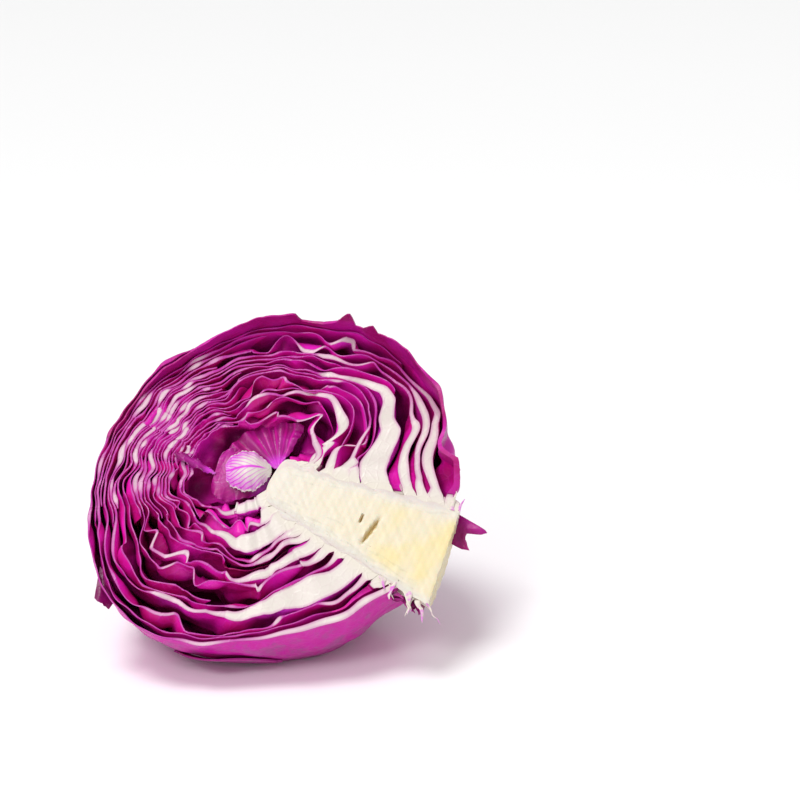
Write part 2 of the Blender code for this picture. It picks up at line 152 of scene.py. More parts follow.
# Painted shade: the skin is darkened deep between the leaves, from this deep behind the cut, over this far,
# mm
SHADE_FROM, SHADE_RISE = 0.8, 7.5
OUTER_LEAVES = 3
# The puckers of the outer leaves flatten out this near the floor, mm
RELIEF_CLEAR = 6.0
# Painted shade: the outermost skin darkens away from the cut, towards the underside, from this far behind it,
# over this far
PAINTED_BACK_SHADE_FROM, PAINTED_BACK_SHADE_RISE, PAINTED_BACK_SHADE = math.radians(30.0), math.radians(40.0), 0.75

# The two outer leaves stand out of the cut, torn, along the head's upper rim: alpha in
# degrees and how far the rim stands out, in degrees round the heart
TORN_LEAVES = 2
TORN_RIM = [
    (-14, 0), (0, 1.5), (20, 4.0), (45, 6.5), (58, 8.0), (66, 8.0), (74, 8.5), (80, 9.0), (81.5, 2.0),
    (89, 1.5), (94, 5.0), (98.0, 14.0), (99.0, 3.5), (101.5, 4.5), (104.5, 12.5), (106.5, 15.0), (107, 8.0),
    (110, 11.5), (117, 11.5), (128, 10.0), (140, 8.5), (150, 7.0), (157, 4.5), (161, 1.0), (162, 0),
]
TORN_SHARES = (1.0, 0.85)
TORN_FADE = math.radians(16.0)

# Small leaves at the heart: name, foot and tip (X, UP, OUT in mm from the heart), half
# width, where it is widest, spread in degrees, cup depth, wave height, waves along the edge,
# paleness and depth of colour
HEART_LEAVES = [
    ("heart_leaf_cup", (11.5, -0.5, -0.5), (-8.5, -2.0, 0.5), 9.8, 0.5, 0, 5.5, 0.8, 4.0, 1.0, 0.0),
    ("heart_leaf_wrap", (11.0, -5.5, -5.5), (-13.5, 0.5, -3.5), 11.0, 0.75, 6, 3.0, 0.9, 2.5, 0.1, 0.6),
    ("heart_leaf_fan", (14.5, 1.5, -3.5), (6.5, 24.0, -6.0), 2.2, 0.8, 44, 0.6, 0.9, 2.3, 0.05, 0.7),
    ("heart_leaf_ruffle", (-13.5, -1.5, -2.0), (-31.5, 6.5, 2.6), 1.9, 0.6, 0, 1.0, 1.6, 3.0, 0.1, 0.8),
]
HEART_BLADE = 0.6
HEART_GRID = 80
# A small leaf that spreads more than this, in degrees, is a fan with no midrib
FAN_SPREAD = 20


class CabbageShape(bpy.types.PropertyGroup):
    """Sizes of the leaves."""
    blade: FloatProperty(
        name="Blade", description="Thickness of a leaf between its veins",
        default=0.00045, min=0.0004, unit="LENGTH")
    side_vein: FloatProperty(
        name="Side veins", description="How much thicker a leaf is at its side veins",
        default=0.0027, unit="LENGTH")
    crinkle: FloatProperty(
        name="Crinkle", description="Height of the folds that neighbouring leaves share",
        default=0.0008, unit="LENGTH")
    curl: FloatProperty(
        name="Curl", description="Sideways run of a leaf's waves for each part of its free space",
        default=0.55, min=0.0, max=1.0)
    columns: IntProperty(
        name="Columns", description="Mesh columns round the head",
        default=400, min=60)


def lin(code):
    """Linear colour of an sRGB hex value."""
    parts = [int(code[i:i + 2], 16) / 255 for i in (1, 3, 5)]
    return [p / 12.92 if p <= 0.04045 else ((p + 0.055) / 1.055) ** 2.4 for p in parts]


def colour_property(name, description, code):
    """A colour that a user can change, from its sRGB hex value."""
    return FloatVectorProperty(name=name, description=description, subtype="COLOR", size=3, min=0, max=1,
                               default=lin(code))


class CabbageColourSet(bpy.types.PropertyGroup):
    """Colours of the leaves and the core."""
    magenta: colour_property("Magenta", "Skin of the inner leaves", "#ea18b8")
    crimson: colour_property("Crimson", "Skin of the inner leaves, redder patches", "#c60a7c")
    violet: colour_property("Violet", "Skin near the ribs", "#d636d2")
    # Also the colour of the painted shade on the outer leaves' underside
    deep: colour_property("Deep", "Skin of the leaves at the heart, darker patches", "#74065c")
    # Painted shade: the colour that the skin darkens to deep between the leaves
    shaded: colour_property("Shaded", "Skin deep between the leaves", "#6c0446")
    dark_skin: colour_property("Dark skin", "Skin seen edge on in the cut", "#8a1068")
    lilac_flesh: colour_property("Lilac flesh", "Cut flesh of a thin blade", "#b82c9e")
    white_flesh: colour_property("White flesh", "Cut flesh of the ribs", "#dbd3cb")
    outer: colour_property("Outer skin", "Skin of the outermost leaves", "#cc10a0")
    bloom: colour_property("Bloom", "Wax on the outermost leaves", "#96588a")
    core: colour_property("Core", "Cut core, whitish part", "#dcd4c6")
    core_yellow: colour_property("Core yellow", "Cut core, yellow part", "#e4d39b")
    slit: colour_property("Slit", "Inside of the cracks in the core", "#c8ad72")


def smooth(x):
    x = np.clip(x, 0.0, 1.0)
    return x * x * (3 - 2 * x)


def wave_set(seed, count, rate):
    """Waves in random directions over a sphere, at about this many radians per radian."""
    draw = np.random.default_rng(seed)
    lines = draw.normal(size=(count, 3))
    lines /= np.linalg.norm(lines, axis=1)[:, None]
    rates = rate * (1 + 0.35 * draw.uniform(-1, 1, count))
    return lines * rates[:, None], draw.uniform(0, 2 * np.pi, count), draw.uniform(-1, 1, count)


def ripple(waves, ray, depth=0.0):
    """Sum of the waves at a direction, about 1 high; each also slides with depth."""
    total = 0.0
    for line, start, slant in zip(*waves):
        total = total + np.sin(ray @ line + start + slant * depth)
    return total / math.sqrt(len(waves[1]) / 2)


LUMPS = wave_set(5, 8, 5.0)
FOLDS = wave_set(11, 8, 8.0)
CRINKLES = wave_set(12, 10, 13.0)
SMALL_CRINKLES = wave_set(13, 10, 24.0)
TEARS = wave_set(17, 5, 14.0)
SMALL_TEARS = wave_set(18, 9, 60.0)
PUCKERS = wave_set(19, 12, 38.0)
GAP_WAVES = [wave_set(100 + i, 7, 7.0) for i in range(len(LEAVES))]
MIDDLE_WAVES = [wave_set(200 + i, 7, 9.0) for i in range(len(LEAVES))]
MARGIN_WAVES = [wave_set(300 + i, 6, 9.0) for i in range(len(LEAVES))]
OWN_WAVES = [wave_set(400 + i, 8, 26.0) for i in range(len(LEAVES))]
EDGE_WAVES = [wave_set(500 + i, 6, 30.0) for i in range(len(LEAVES))]
CURL_WAVES = [wave_set(600 + i, 8, 21.0) for i in range(len(LEAVES))]


def direction(alpha, beta):
    """Unit vector from the heart: alpha turns in the cut face, beta dips behind it."""
    across = np.cos(beta) * np.sin(alpha)
    along = np.cos(beta) * np.cos(alpha)
    return along[..., None] * TOP + across[..., None] * SIDE + np.sin(beta)[..., None] * BACK


def from_heart(spot):
    """A point in mm from its run along X, UP and OUT from the heart."""
    return HEART + spot[0] * X + spot[1] * UP + spot[2] * OUT


def unit_cross(first, second):
    """Unit vectors square to both."""
    normal = np.cross(first, second)
    return normal / (np.linalg.norm(normal, axis=-1)[..., None] + 1e-9)


def outline_radius(outline, alpha):
    """Distance from the heart to a rounded outline, in the direction alpha."""
    turns = [(TOP_ANGLE - math.atan2(up, x), math.hypot(x, up)) for x, up in outline]
    turns = sorted((math.remainder(turn, 2 * math.pi), radius) for turn, radius in turns)
    angles, radii = np.array(turns).T
    steps = np.radians(np.arange(-12.0, 13.0, 2.0))
    weights = np.exp(-0.5 * (steps / math.radians(6.0)) ** 2)
    total = sum(w * np.interp(alpha + s, angles, radii, period=2 * math.pi) for w, s in zip(weights, steps))
    return total / weights.sum()


def head_radius(alpha, beta):
    """Distance from the heart to the outside of the head, flat where it stands."""
    ray = direction(alpha, beta)
    depth_share = np.sin(beta) ** 2
    radius = outline_radius(HEAD_OUTLINE, alpha) * (1 - depth_share) + HEAD_DEPTH * depth_share
    drop = -ray[..., 2]
    off_floor = np.arccos(np.clip(drop, -1, 1))
    radius = radius + LUMP_HEIGHT * ripple(LUMPS, ray) + SAG * np.exp(-(off_floor / SAG_SPREAD) ** 2)
    for turn, depth, spread, size in SWELLINGS:
        centre = direction(np.radians(float(turn)), np.radians(float(depth)))
        off = np.arccos(np.clip(ray @ centre, -1, 1))
        radius = radius + size * np.exp(-(off / math.radians(spread)) ** 2)
    floor = HEART_HEIGHT / np.maximum(drop, 0.2)
    share = np.clip(0.5 + 0.5 * (floor - radius) / FLOOR_BLEND, 0, 1)
    return radius * share + floor * (1 - share) - FLOOR_BLEND * share * (1 - share) * 0.5


def heart_radius(alpha, beta):
    """Distance from the heart to the space inside the innermost leaves."""
    depth_share = np.sin(beta) ** 2
    return outline_radius(HEART_OUTLINE, alpha) * (1 - depth_share) + HEART_DEPTH * depth_share


def leaf_fields(index, ray):
    """A leaf's distance inside its margin, rib thickness, and place along and across its rib."""
    turn, rib_size, _, reach = LEAVES[index]
    turn = math.radians(turn)
    rib_line = math.cos(turn) * SIDE + math.sin(turn) * BACK
    side_line = np.cross(TOP, rib_line)
    along = np.arctan2(ray @ rib_line, ray @ TOP)
    across = np.arcsin(np.clip(ray @ side_line, -1, 1))
    middle = math.cos(LEAF_MIDDLE) * TOP + math.sin(LEAF_MIDDLE) * rib_line
    off_middle = np.arccos(np.clip(ray @ middle, -1, 1))
    root = smooth((along - math.radians(90)) / math.radians(50)) * np.exp(-(across / math.radians(40)) ** 2)
    margin = math.radians(reach) + MARGIN_WAVE * ripple(MARGIN_WAVES[index], ray) + ROOT_REACH * root
    rib_from = RIB_FROM - RIB_EARLIER * (index / (len(LEAVES) - 1)) ** 2
    swell = smooth((np.degrees(along) - rib_from) / RIB_RISE) ** 1.5
    rib = rib_size * swell * np.exp(-(across / RIB_HALF_WIDTH) ** 2)
    return margin - off_middle, rib, along, across


def side_veins(index, along, across):
    """How near a point of a leaf is to a side vein, 0 to 1; veins fade towards the margin."""
    place = np.stack([along, across, across * 0], axis=-1)
    lean = along - SIDE_VEIN_LEAN * np.abs(across) + 0.5 * SIDE_VEIN_SPACING * (across > 0) + 0.37 * index
    lean = lean / SIDE_VEIN_SPACING + 0.25 * ripple(MIDDLE_WAVES[index], place)
    number = np.round(lean)
    off_line = (lean - number) * SIDE_VEIN_SPACING
    size = (0.5 + 0.5 * np.sin(2.4 * number + 1.7 * index)) ** 2.3
    fade = 1 - 0.7 * smooth(np.abs(across) / math.radians(80))
    return np.exp(-(off_line / SIDE_VEIN_WIDTH) ** 2) * fade * size


class Nest:
    """Every leaf's surfaces over one grid of directions."""

    def __init__(self, columns, betas, shape):
        alpha = np.radians(-180 + 360 / columns * np.arange(columns))
        self.alphas, self.betas = np.meshgrid(alpha, np.radians(betas), indexing="ij")
        depth = np.maximum(self.betas, 0.0)
        ray = direction(self.alphas, depth)
        outside = head_radius(self.alphas, depth)
        room = outside - heart_radius(self.alphas, depth)
        vein_share = np.linspace(1.0, 0.4, len(LEAVES))
        vein_share[:OUTER_LEAVES] = 0.5
        blade, vein_size = shape.blade / MM, shape.side_vein / MM
        fields = []
        for index, (_, _, gap, _) in enumerate(LEAVES):
            inside, rib, along, across = leaf_fields(index, ray)
            present = smooth((inside + MARGIN_FADE) / MARGIN_FADE)
            loose = gap * np.exp(0.8 * np.clip(ripple(GAP_WAVES[index], ray), -1.6, 1.4) - 0.2)
            for leaf, centre, spread, reach, size in POCKETS:
                if leaf == index:
                    off = np.remainder(self.alphas - math.radians(centre) + math.pi, 2 * math.pi) - math.pi
                    loose = loose + size * np.exp(-(off / math.radians(spread)) ** 2
                                                  - (depth / math.radians(reach)) ** 2)
            vein = side_veins(index, along, across) * vein_share[index] * smooth(inside / VEIN_FADE)
            fields.append((inside, rib, present, loose, vein))
        least = sum(f[2] * (blade + LEAF_SPACE + VEIN_ROOM * vein_size * f[4]) for f in fields)
        wanted = sum(f[2] * (f[1] + f[3]) for f in fields)
        share = np.maximum(room - least, LEAST_FREE) / wanted
        self.leaves = []
        for index, (inside, rib, present, loose, vein) in enumerate(fields):
            rib_here = rib * np.minimum(share, RIB_SHARE_MOST)
            thickness = present * (blade + vein_size * vein + rib_here)
            slot = present * (blade + LEAF_SPACE + VEIN_ROOM * vein_size * vein + share * (rib + loose))
            free = np.maximum(slot - thickness - present * LEAF_SPACE, 0.0)
            lean = 0.5 * ripple(MIDDLE_WAVES[index], ray) + 0.8 * ripple(OWN_WAVES[index], ray)
            lean = np.clip(lean, -1, 1)
            if index == 0:
                lean = 1.0
                free = slot - thickness
            middle = outside - slot / 2 + free / 2 * lean
            curl = shape.curl * np.minimum(free, CURL_ROOM) * ripple(CURL_WAVES[index], ray)
            curl = curl / np.maximum(middle, CURL_RADIUS)
            self.leaves.append({
                "curl": curl if index >= OUTER_LEAVES else 0.0 * free,
                "slot_middle": outside - slot / 2, "slot_half": slot / 2,
                "middle": middle, "half": thickness / 2, "inside": inside, "rib": rib_here, "vein": vein,
            })
            outside = outside - slot


def fold(radius, alpha, beta, shape):
    """A point of the head in mm: shared folds, crinkles and curls of the layers."""
    ray = direction(alpha, beta)
    head = head_radius(alpha, np.maximum(beta, 0.0))
    reach = np.clip(radius / head, 0.0, 1.2)
    off_top = np.degrees(np.arccos(np.clip(ray @ TOP, -1, 1)))
    fine = smooth((1.0 - reach) / 0.2) * smooth((reach - 0.15) / 0.3)
    fine = fine * (1 - 0.93 * smooth((off_top - 75) / 65))
    fine = fine * (1 - 0.6 * smooth((beta - math.radians(30)) / math.radians(40)))
    radius = radius + fine * shape.crinkle / MM * (ripple(CRINKLES, ray, radius / 6.5)
                                                   + 0.3 * ripple(SMALL_CRINKLES, ray, radius / 5.0))
    reach = np.clip(radius / head, 0.0, 1.2)
    amount = smooth((1.0 - reach) / 0.25) * smooth((reach - 0.15) / 0.3)
    amount = amount * (1 - 0.9 * smooth((off_top - 70) / 60))
    radius = radius + FOLD_HEIGHT * amount * ripple(FOLDS, ray, radius / 11.0)
    return HEART + radius[..., None] * ray


def torn_rim(index, alpha):
    """Beta where a torn outer leaf ends, below 0 in front of the cut."""
    turns, rises = np.radians(np.array(TORN_RIM)).T
    ray = direction(alpha, np.zeros_like(alpha))
    ragged = 1 + 0.1 * ripple(TEARS, ray) + 0.06 * ripple(SMALL_TEARS, ray)
    return -TORN_SHARES[index] * np.interp(alpha, turns, rises) * ragged


def core_half_width(down):
    """Half width of the core, this far below its tip."""
    nose = np.sqrt(np.clip(1 - (1 - np.minimum(down / CORE_NOSE, 1)) ** 2, 0, 1))
    return (CORE_TIP_RADIUS + CORE_FLARE * down) * nose


def place_in_core(point):
    """How far a point is below the core's tip, and how far under its side, mm."""
    offset = point - HEART
    down = -(offset @ TOP) - CORE_AHEAD
    from_axis = np.linalg.norm(offset + (offset @ -TOP)[..., None] * TOP, axis=-1)
    return down, core_half_width(np.clip(down, 0, CORE_LENGTH)) - from_axis


def depth_in_core(point):
    """How far a point is under the core's side, in mm, or negative outside it."""
    down, side = place_in_core(point)
    return np.minimum(side, np.minimum(down, CORE_LENGTH - 1 - down))


def inside_core(point):
    """True well under the core's side, or past its end."""
    down, side = place_in_core(point)
    return (down > 2.5) & (side > 2.8)


def grid_triangles(columns, rows):
    """Triangles of a grid closed round its columns, whose last row is one point, the pole."""
    column = np.arange(columns)[:, None]
    row = np.arange(rows - 1)[None, :]
    following = (column + 1) % columns
    a, b = column * rows + row, following * rows + row
    c, d = b + 1, a + 1
    squares = np.stack([np.stack([a, b, c], -1), np.stack([a, c, d], -1)], 2).reshape(-1, 3)
    pole = rows - 1
    squares = np.where(squares % rows == pole, pole, squares)
    a, b, c = squares.T
    return squares[(a != b) & (b != c) & (a != c)]


def sheet_triangles(columns, rows):
    """Triangles of an open grid of points, counted column by column."""
    index = np.arange(columns * rows).reshape(columns, rows)
    a, b, c, d = (part.ravel() for part in (index[:-1, :-1], index[1:, :-1], index[1:, 1:], index[:-1, 1:]))
    return np.concatenate([np.stack([a, b, c], -1), np.stack([a, c, d], -1)])


def clip_triangles(triangles, field):
    """Triangles where the field isn't negative, and the new corners they need on edges."""
    values = field[triangles]
    whole = (values.min(axis=1) >= 0) & (values.max(axis=1) > 0)
    crossing = (values.min(axis=1) < 0) & (values.max(axis=1) > 0)
    kept = [triangles[whole]]
    edge_corners, extra = {}, []

    def corner_on(here, there):
        first, last = min(here, there), max(here, there)
        if (first, last) not in edge_corners:
            edge_corners[(first, last)] = len(field) + len(extra)
            extra.append((first, last, field[first] / (field[first] - field[last])))
        return edge_corners[(first, last)]

    pieces = []
    for triangle in triangles[crossing].tolist():
        corners = []
        for here, there in zip(triangle, triangle[1:] + triangle[:1]):
            if field[here] >= 0:
                corners.append(here)
            if field[here] * field[there] < 0:
                corners.append(corner_on(here, there))
        pieces += [(corners[0], corners[k], corners[k + 1]) for k in range(1, len(corners) - 1)]
    if pieces:
        kept.append(np.array(pieces))
    return np.concatenate(kept), extra


def largest_patch(triangles, count):
    """The largest connected group of triangles."""
    parent = list(range(count))

    def find(item):
        while parent[item] != item:
            parent[item] = parent[parent[item]]
            item = parent[item]
        return item

    for a, b, c in triangles.tolist():
        a = find(a)
        parent[find(b)] = a
        parent[find(c)] = a
    roots = np.array([find(corner) for corner in triangles[:, 0].tolist()])
    names, sizes = np.unique(roots, return_counts=True)
    return triangles[roots == names[sizes.argmax()]]


def mesh_from_arrays(name, points, faces, values=None, sharp=None):
    """A mesh in metres from points in mm and triangles, with named values on its points."""
    mesh = bpy.data.meshes.new(name)
    mesh.vertices.add(len(points))
    mesh.vertices.foreach_set("co", (np.asarray(points) * MM).astype(np.float32).ravel())
    mesh.loops.add(3 * len(faces))
    mesh.loops.foreach_set("vertex_index", np.asarray(faces).astype(np.int32).ravel())
    mesh.polygons.add(len(faces))
    mesh.polygons.foreach_set("loop_start", np.arange(0, 3 * len(faces), 3, dtype=np.int32))
    mesh.update(calc_edges=True)
    for key, value in (values or {}).items():
        mesh.attributes.new(key, "FLOAT", "POINT").data.foreach_set("value", np.asarray(value, np.float32))
    mesh.shade_smooth()
    if sharp is not None:
        ends = np.empty(2 * len(mesh.edges), np.int32)
        mesh.edges.foreach_get("vertices", ends)
        ends = ends.reshape(-1, 2)
        on_rim = (sharp[ends[:, 0]] > 0) & (sharp[ends[:, 0]] == sharp[ends[:, 1]])
        mesh.attributes.new("sharp_edge", "BOOLEAN", "EDGE").data.foreach_set("value", on_rim)
    mesh.validate()
    return mesh


def add_piece(name, mesh, material, node):
    """A piece of the cabbage on the root body, standing for a node of the frame."""
    mesh.materials.append(material)
    piece = bpy.data.objects.new(name, mesh)
    bpy.context.scene.collection.objects.link(piece)
    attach(piece, "root")
    if node:
        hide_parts(node)
    return piece


def close_blade(name, triangles, extra, outer, inner, values, cut_flesh):
    """The closed blade between two surfaces; under the skins its cut edge shows the flesh."""
    if extra:
        first, last, share = (np.array(part) for part in zip(*extra))
        share = share[:, None]
        outer = np.concatenate([outer, outer[first] * (1 - share) + outer[last] * share])
        inner = np.concatenate([inner, inner[first] * (1 - share) + inner[last] * share])
        share = share[:, 0]
        values = {k: np.concatenate([v, v[first] * (1 - share) + v[last] * share]) for k, v in values.items()}
        cut_flesh = np.concatenate([cut_flesh, cut_flesh[first] * (1 - share) + cut_flesh[last] * share])
    used, numbered = np.unique(triangles, return_inverse=True)
    triangles = numbered.reshape(-1, 3)
    outer, inner, cut_flesh = outer[used], inner[used], cut_flesh[used]
    values = {key: value[used] for key, value in values.items()}
    count = len(used)
    edges = np.concatenate([triangles[:, [0, 1]], triangles[:, [1, 2]], triangles[:, [2, 0]]])
    forward, backward = edges[:, 0] * count + edges[:, 1], edges[:, 1] * count + edges[:, 0]
    rim = edges[~np.isin(forward, backward)]
    rim_points, rim_index = np.unique(rim, return_inverse=True)
    rim_index = rim_index.reshape(-1, 2)
    thickness = np.linalg.norm(outer[rim_points] - inner[rim_points], axis=1)
    skin = np.clip(SKIN_LINE / np.maximum(thickness, 0.1), 0.03, 0.25)[:, None]
    tinted = np.clip(TINTED_FLESH / np.maximum(thickness, 0.1), 0.1, 0.4)[:, None]
    rings = [outer[rim_points] * (1 - inset) + inner[rim_points] * inset
             for inset in (skin, tinted, 1 - tinted, 1 - skin)]
    points = np.concatenate([outer, inner, *rings])
    rims = len(rim_points)
    columns = [rim, *(rim_index + 2 * count + rims * ring for ring in range(len(rings))), rim + count]
    faces = [triangles, triangles[:, ::-1] + count]
    for here, there in zip(columns, columns[1:]):
        faces.append(np.stack([here[:, 1], here[:, 0], there[:, 0]], -1))
        faces.append(np.stack([here[:, 1], there[:, 0], there[:, 1]], -1))
    grown, grown_outside = values.pop("grown"), values.pop("grown_outside")
    cut_flesh = np.maximum(cut_flesh, grown)[rim_points]
    stacked = {k: np.concatenate([v, v, *[v[rim_points]] * len(rings)]) for k, v in values.items()}
    stacked["outside"] = np.concatenate([np.ones(count), np.zeros(count + len(rings) * rims)])
    stacked["flesh"] = np.concatenate([grown_outside, grown, *[cut_flesh] * len(rings)])
    root = values["root"][rim_points]
    edge_pale = stacked["pale"][2 * count:].reshape(len(rings), rims)
    edge_pale[[0, -1]] *= EDGE_PALENESS + (1 - EDGE_PALENESS) * root
    sharp = np.zeros(len(points), int)
    sharp[rim_points] = 1
    sharp[rim_points + count] = 2
    return mesh_from_arrays(name, points, np.concatenate(faces), stacked, sharp)


# A margin this near a mesh corner goes through it, and a leaf this low, in mm, lies on the floor
MARGIN_SNAP = math.radians(0.15)
FLOOR_SNAP = 0.12
# The named values on a leaf's points that its skin reads
LEAF_VALUES = ("pale", "skin_pale", "vein", "root", "grown", "grown_outside", "deep", "shade")


def leaf_values(count, **given):
    """Every named value for this many points, 0 where none is given."""
    return {**dict.fromkeys(LEAF_VALUES, np.zeros(count)), **given}


# Mesh rows of the outer and the inner leaves: depth behind the cut, in degrees
OUTER_ROWS = np.concatenate([[0, 0.8, 1.8], np.arange(3, 90, 2.5), [90]])
INNER_ROWS = np.array([0, 0.6, 1.3, 2.2, 3.3, 4.6, 6.2, 8, 10, 12.5, 15.5, 19, 23, 27.5, 32.5, 38, 44, 51, 58,
                       66, 74, 82, 90])
# The outer leaves' rows in front of the cut
TORN_ROWS = np.array([-15, -13.5, -12.2, -11, -9.5, -8, -6.5, -5.2, -4, -3, -2, -1, -0.4])


def make_leaf(index, nest, shape, material):
    """One nested leaf, its root sunk into the core."""
    leaf = nest.leaves[index]
    alphas, betas = nest.alphas, nest.betas
    columns, rows = alphas.shape
    turned = alphas + leaf["curl"]
    middle, half, inside = leaf["middle"], leaf["half"], leaf["inside"]
    step = 0.05
    centre = fold(middle, turned, betas, shape)
    growth = (fold(middle + step, turned, betas, shape) - centre) / step
    around = np.roll(centre, -1, axis=0) - np.roll(centre, 1, axis=0)
    normal = unit_cross(around, np.gradient(centre, axis=1))
    tilt = np.abs((growth * normal).sum(axis=-1))
    tilt[:, -1] = 1.0
    half = np.clip(half / np.maximum(tilt, 0.4), half, half + THICKEN)
    relief = 0.0
    ray = direction(alphas, np.maximum(betas, 0.0))
    reach = np.clip(WEB_REACH * (1 + 0.7 * ripple(MARGIN_WAVES[index], ray)), 1.0, 2.5 * WEB_REACH)
    web = smooth((depth_in_core(centre) + reach + WEB_CURVE) / WEB_CURVE)
    if index == 0:
        web = 0.0 * web
    middle = middle * (1 - web) + leaf["slot_middle"] * web
    half = half * (1 - web) + (leaf["slot_half"] + WEB_OVERLAP) * web
    if index < OUTER_LEAVES:
        relief = (0.7 * leaf["vein"] + 0.35 * ripple(PUCKERS, ray)) * smooth(centre[..., 2] / RELIEF_CLEAR)
    outer = fold(middle + half + relief, turned, betas, shape)
    inner = fold(middle - half + relief, turned, betas, shape)
    near_core = smooth((depth_in_core(centre) + 14) / 16)
    proud = 0.4 * ripple(EDGE_WAVES[index], ray) * np.exp(-(np.abs(betas) * middle / 2.5) ** 2)
    proud = proud * (1 - near_core)
    outer = outer + proud[..., None] * OUT
    inner = inner + proud[..., None] * OUT
    outer[..., 2] = np.where(outer[..., 2] < FLOOR_SNAP, 0.0, outer[..., 2])
    outer, inner = outer.reshape(-1, 3), inner.reshape(-1, 3)
    field = inside + WEB_MARGIN * web
    if index < TORN_LEAVES:
        field = np.minimum(field, betas - torn_rim(index, alphas) * smooth(inside / TORN_FADE))
    field = np.where(np.abs(field) < MARGIN_SNAP, 0.0, field).ravel()
    triangles = grid_triangles(columns, rows)
    hidden = inside_core(outer) & inside_core(inner)
    triangles = triangles[~hidden[triangles].all(axis=1)]
    triangles, extra = clip_triangles(triangles, field)
    triangles = largest_patch(triangles, len(field) + len(extra))
    thick = 2 * half
    pale = np.maximum(0.75 * smooth((thick - 1.0) / 1.3), smooth((thick - 2.2) / 1.5))
    pale = np.maximum(pale, near_core)
    # Painted shade: the outer leaves' skin darkens away from the cut, towards the underside; it is carried in
    # the deep value
    back = PAINTED_BACK_SHADE * (index < OUTER_LEAVES) * smooth((betas - PAINTED_BACK_SHADE_FROM) / PAINTED_BACK_SHADE_RISE)
    values = {
        "root": smooth((depth_in_core(centre) + 9) / 10).ravel(),
        "pale": pale.ravel(),
        "skin_pale": 0.45 * smooth((leaf["rib"] - 1.0) / 8.0).ravel(),
        "vein": (leaf["vein"] * (1 - near_core)).ravel(),
        "deep": np.where(betas < 0, 0.4, back).ravel(),
        "grown": smooth((web - 0.5) / 0.4).ravel(),
        "grown_outside": (smooth((web - 0.5) / 0.4) * (index > 1)).ravel(),
        # Painted shade: the skin darkens with depth behind the cut, between the leaves
        "shade": smooth((np.maximum(betas, 0.0) * middle - SHADE_FROM) / SHADE_RISE).ravel(),
    }
    cut_flesh = np.where(np.abs(betas) < MARGIN_SNAP, 1.0, 0.0).ravel()
    name = f"leaf_{index + 1:02d}"
    mesh = close_blade(name, triangles, extra, outer, inner, values, cut_flesh)
    return add_piece("cabbage_" + name, mesh, material, name)


def add_node(tree, kind, inputs=None, **settings):
    """A node with its settings; an input is given a value, or another node's output."""
    node = tree.nodes.new(kind)
    for key, value in settings.items():
        setattr(node, key, value)
    for key, value in (inputs or {}).items():
        socket = node.inputs[key]
        if isinstance(value, bpy.types.NodeSocket):
            tree.links.new(value, socket)
        else:
            socket.default_value = value
    return node


def mix(tree, factor, first, second):
    """Colour between two colours or outputs."""
    first = first if isinstance(first, bpy.types.NodeSocket) else (*first, 1.0)
    second = second if isinstance(second, bpy.types.NodeSocket) else (*second, 1.0)
    node = add_node(tree, "ShaderNodeMix", data_type="RGBA")
    for socket, value in ((node.inputs[0], factor), (node.inputs[6], first), (node.inputs[7], second)):
        if isinstance(value, bpy.types.NodeSocket):
            tree.links.new(value, socket)
        else:
            socket.default_value = value
    return node.outputs[2]


def ramp(tree, value, low, high, low_to=0.0, high_to=1.0):
    """The value moved smoothly from one range to another."""
    node = add_node(tree, "ShaderNodeMapRange", {0: value, 1: low, 2: high, 3: low_to, 4: high_to},
                    interpolation_type="SMOOTHSTEP")
    return node.outputs[0]


def noise(tree, size, detail=3.0, roughness=0.5):
    """Noise whose patches are about this many millimetres across."""
    coords = add_node(tree, "ShaderNodeTexCoord").outputs["Object"]
    return add_node(tree, "ShaderNodeTexNoise", {
        "Vector": coords, "Scale": 1 / (size * MM), "Detail": detail, "Roughness": roughness}).outputs[0]


def attribute(tree, name):
    """A named value of the mesh's points."""
    return add_node(tree, "ShaderNodeAttribute", attribute_name=name).outputs["Fac"]


def new_material(name, roughness, specular=0.5):
    """A material with its node tree and its Principled shader."""
    material = bpy.data.materials.new(name)
    material.use_nodes = True
    shader = material.node_tree.nodes["Principled BSDF"]
    shader.inputs["Roughness"].default_value = roughness
    shader.inputs["Specular IOR Level"].default_value = specular
    return material, material.node_tree, shader


